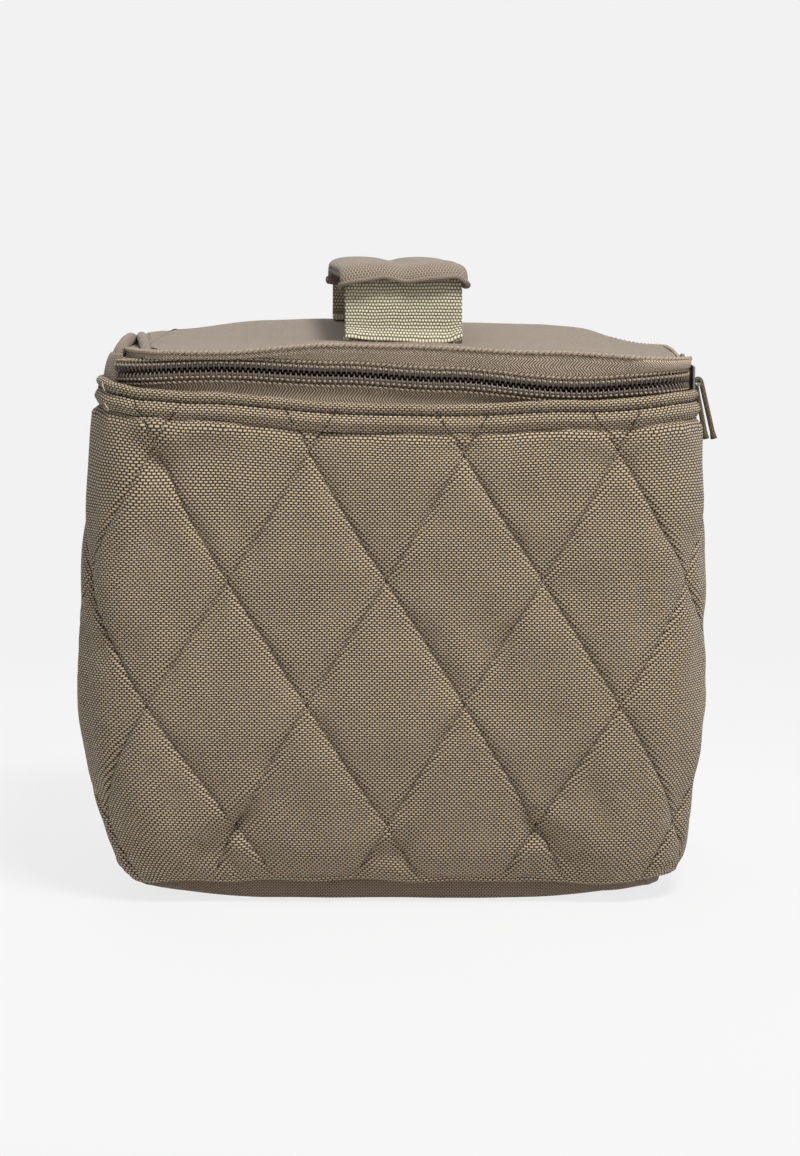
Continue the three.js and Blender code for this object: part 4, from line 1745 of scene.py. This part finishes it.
def build_roll(name: str, points: Sequence[tuple[float, float, float]], radius: tuple[float, float],
               sides: int, body: str) -> None:
    """A roll of plain cloth.

    Args:
        name: The piece's name.
        points: The path of its middle line, in millimetres.
        radius: Its radius at its start and how much thinner it gets to its end, in millimetres.
        sides: How many sides its section has.
        body: The body that it moves with.
    """
    path, _ = resample([Vector(point) * MM for point in points], 2 * MM)
    radii = [MM * (radius[0] - radius[1] * i / len(path)) for i in range(len(path))]
    settle(freeze(subdivide(to_object(tube(path, radii, sides), name))), body, PLAIN, "plain_fabric")


@dataclass
class Gussets:
    """The folded cloth at both sides of the lid, and the strip that hinges its back."""

    edge: float = 100 * MM
    front: float = -33.5 * MM
    back: float = 45.5 * MM
    front_depth: float = 30 * MM
    back_depth: float = 7 * MM
    hinge_low: float = 165 * MM
    hinge_high: float = 189.5 * MM
    thickness: float = 0.8 * MM

    def section(self, depth: float) -> list[Vector]:
        """The folds from the hem to the lid, as distances inwards from the edge and heights.

        Args:
            depth: How deep the folds are.

        Returns:
            The folds' line.
        """
        corners = [(3.2, 167.0), (2.6, 170.5), (0.6, 172.6), (3.0, 174.0), (depth / MM, 174.6),
                   (depth / MM, 175.6), (3.0, 176.4), (-0.6, 177.6), (-0.6, 179.6), (3.0, 180.8),
                   (depth / MM, 181.6), (depth / MM, 182.6), (3.0, 183.4), (0.4, 184.6), (0.6, 187.0),
                   (4.0, 189.0)]
        return rounded_path(corners)

    def build(self) -> None:
        """Makes both gussets and the hinge strip."""
        for sign, name in ((1, "right_gusset_folds"), (-1, "left_gusset_folds")):
            _, places = resample(self.section(self.front_depth), 1.6 * MM)
            shares = {value: i / (len(places) - 1) for i, value in enumerate(places)}

            def place(u: float, v: float, sign: int = sign) -> Vector:
                """A place on the folds.

                Args:
                    u: The place from front to back.
                    v: How far along the folds' line.
                    sign: 1 for the right gusset and -1 for the left one.

                Returns:
                    The point.
                """
                along = (u - self.front) / (self.back - self.front)
                depth = self.front_depth + (self.back_depth - self.front_depth) * along
                points = self.section(depth)
                spot = shares[v] * (len(points) - 1)
                k = min(int(spot), len(points) - 2)
                point = points[k].lerp(points[k + 1], spot - k)
                loose = 0.7 * MM * ripple(u * 40, point.y * 200, 20.0 + sign)
                x = sign * (self.edge - point.x + loose)
                share = smoothstep(176 * MM, 187 * MM, point.y)
                follow = (Lid().height(math.copysign(98.5 * MM, x), u) - 1.8 * MM) * share
                return Vector((x + (Lid.drawn_in(x) - x) * share, u, point.y + 0.3 * loose + follow))

            bm = grid_sheet(spread(self.front, self.back, 3 * MM), places, place)
            if sign < 0:
                bmesh.ops.reverse_faces(bm, faces=bm.faces)
            obj = freeze(thicken(to_object(bm, name), self.thickness))
            node = "right_gusset" if sign > 0 else "left_gusset"
            settle(obj, "", PLAIN, "plain_fabric", node)
            lines = [[place(u, v) for v in places] for u in (self.front, self.back)]
            edges = to_object(join([tube(line, [0.9 * MM] * len(line), 8) for line in lines]), node + "_edges")
            settle(edges, "", LINING, "plain_fabric")
            for piece in (obj, edges):
                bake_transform(piece)
        self.build_rolls()

        low = FORM.straight_x + FORM.arc + FORM.straight_y * 2
        heights = spread(self.hinge_low, self.hinge_high, 1.2 * MM)
        bm = grid_sheet(spread(low, FORM.length - low, 3 * MM), heights, self.hinge)
        obj = freeze(thicken(to_object(bm, "hinge_strip_cloth"), self.thickness))
        settle(obj, "", PLAIN, "plain_fabric", "hinge_strip")
        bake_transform(obj)

    def build_rolls(self) -> None:
        """The rolled cloth at the lid's left corner, of which the lower part stays on the case."""
        low = ((-96.2, -48.5, 169.5), (-96.6, -50.5, 173), (-96.4, -51.5, 178.5), (-95.6, -51.2, 183),
               (-94.6, -49.5, 186.6))
        high = ((-95.2, -50.5, 184.6), (-93.9, -48, 188.4), (-92.5, -42, 190.8), (-92.0, -31, 191.4),
                (-92.6, -15, 190.4), (-93.8, 6, 189.0), (-95, 28, 187.6))
        build_roll("left_corner_roll", low, (2.8, 0.7), 12, "case")
        build_roll("left_edge_roll", high, (2.4, 0.7), 12, "lid")

    def hinge(self, s: float, z: float) -> Vector:
        """A place on the strip behind the lid, which bulges slightly and ends inside the lid's edge.

        Args:
            s: How far along the outline.
            z: How high on the flat strip.

        Returns:
            The point.
        """
        bow = 1.2 * MM * math.sin(math.pi * min(1.0, max(0.0, (z - 169 * MM) / (18 * MM))))
        point, _ = FORM.outline(s, -3.4 * MM + bow + 0.3 * MM * ripple(s * 40, z * 60, 31.0))
        top = 187 * MM + Lid().height(point.x, point.y)
        share = (z - self.hinge_low) / (self.hinge_high - self.hinge_low)
        return Vector((point.x, point.y, self.hinge_low + share * (top - self.hinge_low)))


# Lid

DRAWN_FROM = -78 * MM
DRAWN_SHARE = 0.66


@dataclass
class Lid:
    """The padded lid, its lining and its stitching."""

    inset: float = 3 * MM
    bottom: float = 187 * MM
    thickness: float = 2.4 * MM
    seam_inset: float = 10 * MM
    seam_end: float = 74 * MM
    sewing: Stitching = Stitching(pitch=3.0 * MM, radius=0.32 * MM)
    rim_sewing: Stitching = Stitching(pitch=1.9 * MM, share=0.8, radius=0.6 * MM, slant=30.0)
    lining_height: float = 185.6 * MM
    lining_inset: float = 8.2 * MM
    lining_room: float = 3.4 * MM
    rise_back: Knots = ((-66, 0.0), (-42, 0.2), (-5, 3.0), (38, 5.6), (50, 5.8))
    rise_across: Knots = ((-92, 0.17), (-82, 0.26), (-50, 0.85), (-28, 1.0), (20, 0.7), (54, 0.6),
                          (66, 0.42), (80, 0.1), (92, 0.0))

    def height(self, x: float, y: float) -> float:
        """How far the lid's upper side lies over its lower rim at a place in plan.

        The lid is level behind its front edge and rises to the back, where it is highest on the left.

        Args:
            x: The place across.
            y: The place from front to back.

        Returns:
            How far up.
        """
        edge = self.edge(x, y)
        slope = smoothstep(0.0, 20 * MM, edge)
        rise = through(self.rise_back, y / MM) * through(self.rise_across, x / MM)
        groove = -0.5 * math.exp(-(((edge - self.seam_inset) / (1.4 * MM)) ** 2))
        soft = 0.45 * ripple(x * 24, y * 24, 40.0) * smoothstep(3 * MM, 15 * MM, edge)
        front = smoothstep(-10 * MM, -60 * MM, y)
        front += (smoothstep(30 * MM, -40 * MM, y) - front) * smoothstep(50 * MM, 90 * MM, x)
        return MM * (1.6 + rise * slope + groove + soft) + ZIP_LINE.rim(x) * front + self.sag(x, y)

    @staticmethod
    def sag(x: float, y: float) -> float:
        """How far the lid hangs down at its right side towards the back."""
        return -4.6 * MM * smoothstep(66 * MM, 94 * MM, x) * smoothstep(-62 * MM, 10 * MM, y)

    def edge(self, x: float, y: float) -> float:
        """How far a place in plan lies inside the lid's rim, its corners counted as square."""
        return min(FORM.width / 2 - self.inset - abs(x), FORM.depth / 2 - self.inset - abs(y))

    def build(self) -> None:
        """Makes the lid's panel, lining and stitches."""
        radius = self.thickness / 2
        rounds = []
        for i in range(13):
            angle = -math.pi / 2 + math.pi * i / 12
            rounds.append((1 - (radius / (80 * MM)) * (1 - math.cos(angle)), radius * math.sin(angle)))
        inner = [0.12 * i for i in range(1, 7)] + [0.78, 0.82, 0.85, 0.88, 0.905, 0.93, 0.95]
        profile = [(0.0, -radius)] + [(r, -radius) for r in inner] + rounds
        profile += [(r, radius) for r in reversed(inner)] + [(0.0, radius)]
        profile = [(r, self.bottom + height) for r, height in profile]
        bm = spun_plate(profile, lambda height: -self.inset, self.height, 192)
        for vert in bm.verts:
            vert.co.x = self.drawn_in(vert.co.x)
        obj = freeze(subdivide(to_object(bm, "lid_top")))
        lid = settle(obj, "lid", PLAIN, "plain_fabric", "lid_panel")
        self.build_lining()
        self.build_stitches()
        self.build_backing()
        roll = ((-83.6, -62, 185.4), (-84.4, -58, 187.6), (-85.4, -52, 190.2), (-86.6, -45, 191.9),
                (-87.9, -35, 192.2), (-89, -20, 191.4), (-89.8, 0, 190.1), (-90.4, 20, 188.8))
        build_roll("lid_left_roll", roll, (2.1, 0.5), 10, "lid")

    @staticmethod
    def drawn_in(x: float) -> float:
        """Where a place across the lid lies once its left side is drawn in by the gusset."""
        return x if x > DRAWN_FROM else DRAWN_FROM + (x - DRAWN_FROM) * DRAWN_SHARE

    def build_backing(self) -> None:
        """The thin board inside the lid that the strap is sewn through."""
        board = grid_sheet(spread(-25 * MM, 25 * MM, 5 * MM), spread(-46 * MM, 46 * MM, 5 * MM),
                           lambda u, v: Vector((u, v, self.bottom + 0.3 * MM + self.height(u, v))))
        settle(freeze(thicken(to_object(board, "strap_backing"), 0.8 * MM)), "lid", BOARD, "board",
               "handle_backing")

    def build_lining(self) -> None:
        """The lining stretched under the lid."""
        profile = [(r, self.lining_height) for r in (0.0, 0.2, 0.4, 0.6, 0.75, 0.85, 0.93, 0.98, 1.0)]

        def rise(x: float, y: float) -> float:
            """The lining follows the lid's dome, slightly loose."""
            room = min(self.height(x, y) - self.lining_room, self.lining_room)
            return room * smoothstep(0.0, 12 * MM, self.edge(x, y)) + 0.2 * MM * ripple(x * 30, y * 30, 44.0)

        bm = spun_plate(profile, lambda height: -self.lining_inset, rise, 96)
        for face in bm.faces:
            if face.normal.z > 0:
                face.normal_flip()
        obj = freeze(thicken(to_object(bm, "lid_inside"), 0.6 * MM))
        settle(obj, "lid", LINING, "lining_fabric", "lid_lining")

    def on_top(self, s: float, inset: float) -> tuple[Vector, Vector]:
        """A place on the lid's upper side, an inset inside its rim.

        Args:
            s: How far along the outline.
            inset: How far inside the rim.

        Returns:
            The point and the direction straight up.
        """
        point, _ = FORM.outline(s, -self.inset - inset)
        z = self.bottom + self.thickness / 2 + self.height(point.x, point.y) - 0.1 * MM
        return Vector((self.drawn_in(point.x), point.y, z)), Vector((0.0, 0.0, 1.0))

    def build_stitches(self) -> None:
        """A row of stitches inside the rim, and a finer one along the rim."""
        half = FORM.length / 2
        ones = [one for one in self.sewing.along(lambda s: self.on_top(s, self.seam_inset), -half, half)
                if one.translation.x < self.seam_end]
        sew("lid_stitches", ones, "lid", DARK_THREAD, "plain_fabric")

        def rim(s: float) -> tuple[Vector, Vector]:
            """A place on the lid's rolled rim.

            Args:
                s: How far along the outline.

            Returns:
                The point and the outline's outward direction.
            """
            point, normal = FORM.outline(s, -self.inset + 0.6 * MM)
            z = self.bottom + 0.7 * MM + self.height(point.x * 0.999, point.y * 0.999)
            return Vector((self.drawn_in(point.x), point.y, z)), normal

        sew("rim_stitches", self.rim_sewing.along(rim, -half, half), "lid", TONE_THREAD, "plain_fabric")


# Handle


@dataclass
class Handle:
    """The webbing strap and its cloth grip, which the strap's two bends carry over the lid."""

    yaw: float = 4.1
    shift: float = -0.9 * MM
    width: float = 40 * MM
    thickness: float = 1.8 * MM
    leg: float = 42 * MM
    grip_cloth: float = 1.1 * MM
    sewing: Stitching = Stitching(pitch=2.4 * MM, radius=0.3 * MM)
    sewn_feet: tuple[tuple[int, float], ...] = ((-1, 191.0), (1, 196.8))
    foot_knots: Knots = ((-20, 1.1), (-8, 0.1), (8, -0.6), (15, -0.7), (20, 1.2))
    hem_knots: Knots = ((-22, 1.4), (-15, 0.6), (-7, -0.7), (2, 0.5), (10, -0.3), (18, -0.9), (21.5, 0.8),
                        (23, 2.2))

    @property
    def matrix(self) -> Matrix:
        """How the handle is turned on the lid."""
        return Matrix.Translation((self.shift, 0, 0)) @ Matrix.Rotation(math.radians(self.yaw), 4, "Z")

    def strap_path(self) -> list[Vector]:
        """The strap's middle line from its front foot to its back foot, seen from the side.

        Returns:
            The line's points, as places from front to back and heights.
        """
        leg = self.leg / MM
        corners = [(-leg + 12, 190.2), (-leg + 5, 190.2), (-leg - 1.6, 190.1), (-leg - 1.9, 192.0),
                   (-leg - 0.3, 194.0), (-leg, 198), (-leg, 208), (-leg + 1.2, 212.4), (-leg + 5.5, 214.2),
                   (-20, 214.3), (0, 213.9), (20, 214.3), (leg - 5.5, 214.2), (leg - 1.2, 212.4), (leg, 209),
                   (leg, 202), (leg + 0.3, 199.4), (leg + 1.9, 197.6), (leg + 1.6, 195.9), (leg - 5, 196.0),
                   (leg - 12, 196.0)]
        return rounded_path(corners)

    def foot(self, x: float, z: float) -> float:
        """How far the strap's foot is lifted or pressed into the lid across its width."""
        curve = through(self.foot_knots, x / MM)
        return MM * curve * (1 - smoothstep(191 * MM, 199 * MM, z))

    def place(self, x: float, y: float, z: float) -> Vector:
        """A place on the handle, turned onto the lid."""
        return self.matrix @ Vector((x, y, z + self.foot(x, z)))

    def build(self) -> None:
        """Makes the strap, its stitches and the grip."""
        path, places = resample(self.strap_path(), 1.3 * MM)
        index = {value: i for i, value in enumerate(places)}
        half = self.width / 2
        bm = grid_sheet(spread(-half, half, 2.0 * MM), places,
                        lambda u, v: self.place(u, path[index[v]].x, path[index[v]].y))
        obj = thicken(to_object(bm, "webbing"), self.thickness, 0.0)
        bevel = obj.modifiers.new("edges", "BEVEL")
        bevel.width = 0.5 * MM
        bevel.segments = 2
        bevel.limit_method = "ANGLE"
        settle(freeze(obj), "lid", WEBBING, "strap_webbing", "handle_strap")
        self.build_stitches()
        self.build_grip()

    def build_stitches(self) -> None:
        """The rows of stitches across the strap's two feet."""
        rows = []
        for side, height in self.sewn_feet:
            def row(u: float, side: int = side, height: float = height) -> tuple[Vector, Vector]:
                """A place on the row."""
                out = self.leg + 1.9 * MM + self.thickness / 2
                return self.place(u, side * out, height * MM), Vector((0.0, side, 0.2)).normalized()
            rows += self.sewing.along(row, -self.width / 2 + MM, self.width / 2 - MM)
        sew("strap_stitches", rows, "lid", DARK_THREAD, "strap_webbing")

    def grip_path(self) -> list[Vector]:
        """The part of the strap's line that the grip goes round.

        Returns:
            The line's points, as places from front to back and heights.
        """
        leg = self.leg / MM
        corners = [(-leg - 0.3, 210.9), (-leg + 0.2, 212.6), (-leg + 2.2, 213.9), (-leg + 6, 214.3),
                   (-20, 214.4), (0, 214.0), (20, 214.4), (leg - 6, 214.3), (leg - 2.2, 213.9),
                   (leg - 0.2, 212.6), (leg + 0.3, 210.9)]
        return rounded_path(corners)

    def grip_section(self) -> list[Vector]:
        """The grip's skin round the strap: across the strap, and outwards from it.

        Returns:
            The section's points, which end where they start.
        """
        over = [(-21.8, 0.0), (-22.0, 1.4), (-20.5, 3.0), (-16.0, 3.9), (-9.0, 4.1), (-3.5, 3.6), (0.0, 2.3),
                (3.5, 3.5), (9.0, 3.9), (16.0, 3.7), (20.4, 2.8), (22.0, 1.2), (22.0, 0.0)]
        under = [(21.8, -1.8), (20.0, -2.5), (8.0, -2.6), (-8.0, -2.6), (-20.0, -2.5), (-21.7, -1.8),
                 (-21.8, 0.0)]
        return rounded_path(over + under)

    def hem_cut(self, x: float) -> float:
        """How much further the grip's open end hangs down across its width."""
        return MM * through(self.hem_knots, x / MM)

    def build_grip(self) -> None:
        """The padded cloth sleeve round the strap's top, with its rolled ends."""
        section, around = resample(self.grip_section(), 1.5 * MM)
        path, along = resample(self.grip_path(), 1.6 * MM)
        index = {value: i for i, value in enumerate(around)}
        rows = {value: i for i, value in enumerate(along)}

        def skin(u: float, v: float) -> Vector:
            """A place on the sleeve's skin.

            Args:
                u: How far along the strap's line.
                v: How far round the strap.

            Returns:
                The point.
            """
            i, point = rows[u], section[index[v]]
            before, after = path[max(0, i - 1)], path[min(len(path) - 1, i + 1)]
            ahead = (after - before).normalized()
            outwards = Vector((-ahead.y, ahead.x))
            end = 1 - smoothstep(0.0, 9 * MM, min(u, along[-1] - u))
            front = -1 if u < along[-1] / 2 else 1
            spot = path[i] + outwards * point.y + ahead * front * self.hem_cut(point.x) * end
            loose = 0.25 * MM * ripple(u * 55, v * 55, 51.0)
            return self.matrix @ Vector((point.x + loose, spot.x, spot.y + loose))

        bm = close_seam(grid_sheet(along, around, skin))
        obj = freeze(subdivide(thicken(to_object(bm, "grip_sleeve"), self.grip_cloth)))
        grip = settle(obj, "lid", PLAIN, "plain_fabric", "handle_grip")
        rolls = []
        for u in (along[0], along[-1]):
            ring = [skin(u, v) for v in around]
            rolls.append(tube(ring, [0.85 * MM] * len(ring), 8))
        settle(to_object(join(rolls), "grip_hems"), "lid", PLAIN, "plain_fabric")


# Studio


@dataclass
class Studio:
    """The floor, the lights and the camera."""

    image: tuple[int, int] = (800, 1156)
    focal: float = 3005.0
    sensor: float = 36.0
    eye: Vector = Vector((0.9, -1070.0, 239.4)) * MM
    tilt: float = 7.2
    backdrop: float = srgb(242, 242, 242)[0]
    soft_light: float = 0.27
    lamps: tuple[tuple[str, tuple[float, float, float], float, float], ...] = (
        ("key", (0.3, -0.56, 1.2), 0.34, 14.6),
        ("fill", (1.3, -0.9, 0.9), 1.0, 3.0),
        ("rear", (-0.3, 1.1, 1.3), 1.2, 8.0),
    )

    def build(self) -> None:
        """Sets everything up."""
        self.build_camera()
        self.build_floor()
        self.build_world()
        for name, place, size, power in self.lamps:
            self.build_lamp(name, Vector(place), size, power)
        bpy.context.scene.view_settings.view_transform = "Standard"

    def build_camera(self) -> None:
        """The camera at the photograph's angle."""
        data = bpy.data.cameras.new("camera")
        data.sensor_width = self.sensor
        data.lens = self.focal / max(self.image) * self.sensor
        data.clip_start, data.clip_end = 0.05, 50.0
        camera = linked("camera", data)
        camera.location = self.eye
        camera.rotation_euler = (math.radians(90 - self.tilt), 0.0, 0.0)
        bpy.context.scene.camera = camera

    def seen(self, g: Graph) -> bpy.types.NodeSocket:
        """1 for rays that the camera, a mirror or glass sees.

        Args:
            g: The graph that it is part of.

        Returns:
            The value's socket.
        """
        path = g.node("LightPath")
        either = g.sum("MAXIMUM", path.outputs["Is Camera Ray"], path.outputs["Is Glossy Ray"])
        return g.sum("MAXIMUM", either, path.outputs["Is Transmission Ray"])

    def build_floor(self) -> None:
        """A plain pale floor that fades into the background with distance, and keeps the case's shadow."""
        bm = bmesh.new()
        bmesh.ops.create_circle(bm, cap_ends=True, segments=64, radius=6.0)
        floor = to_object(bm, "floor")
        floor.data.transform(Matrix.Translation((0, 0, -0.2 * MM)))
        g = Graph(bpy.data.materials.new("floor"))
        place = g.object_place()
        far = g.node("VectorMath", {0: place}, operation="LENGTH").outputs["Value"]
        fade = g.span(far, 0.16, 0.6)
        share = g.sum("MULTIPLY_ADD", fade, 0.16, 0.84)
        grey = g.mix(g.texture_noise(place, 3.0), (0.74,) * 3, (0.76,) * 3)
        paper = g.node("BsdfDiffuse", {"Color": grey})
        level = g.sum("MULTIPLY_ADD", fade, -0.06, 1.06)
        shine = g.node("Emission", {"Color": (self.backdrop,) * 3, "Strength": level})
        blend = g.node("MixShader", {0: g.sum("MULTIPLY", share, self.seen(g)), 1: paper.outputs[0],
                                     2: shine.outputs[0]})
        g.node("OutputMaterial", {0: blend.outputs[0]})
        floor.data.materials.append(g.owner)

    def build_world(self) -> None:
        """Even light from all round, and the pale background."""
        world = bpy.data.worlds.new("studio")
        bpy.context.scene.world = world
        g = Graph(world)
        soft = g.node("Background", {0: (1.0, 1.0, 1.0), 1: self.soft_light})
        shown = g.node("Background", {0: (self.backdrop,) * 3})
        blend = g.node("MixShader", {0: self.seen(g), 1: soft.outputs[0], 2: shown.outputs[0]})
        g.node("OutputWorld", {0: blend.outputs[0]})

    def build_lamp(self, name: str, place: Vector, size: float, power: float) -> None:
        """One large soft lamp that faces the case.

        Args:
            name: Its name.
            place: Where it hangs.
            size: Its diameter.
            power: Its power in watts.
        """
        data = bpy.data.lights.new(name, "AREA")
        data.shape = "DISK"
        data.size = size
        data.energy = power
        lamp = linked(name, data)
        lamp.location = place
        lamp.rotation_euler = (Vector((0, 0, 0.1)) - place).to_track_quat("-Z", "Y").to_euler()


def dress_board() -> None:
    """Gives the board in the base its plastic."""
    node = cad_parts["base_board"]
    node.data.materials.clear()
    node.data.materials.append(BOARD.material())


def main() -> None:
    """Builds the case piece by piece."""
    logging.basicConfig(level=logging.INFO, format="%(name)s: %(message)s", stream=sys.stdout)
    Studio().build()
    QuiltedWalls().build()
    Base().build()
    Lining().build()
    Zip().build()
    Slider().build()
    Gussets().build()
    Lid().build()
    Handle().build()
    dress_board()


if __name__ == "__main__":
    main()
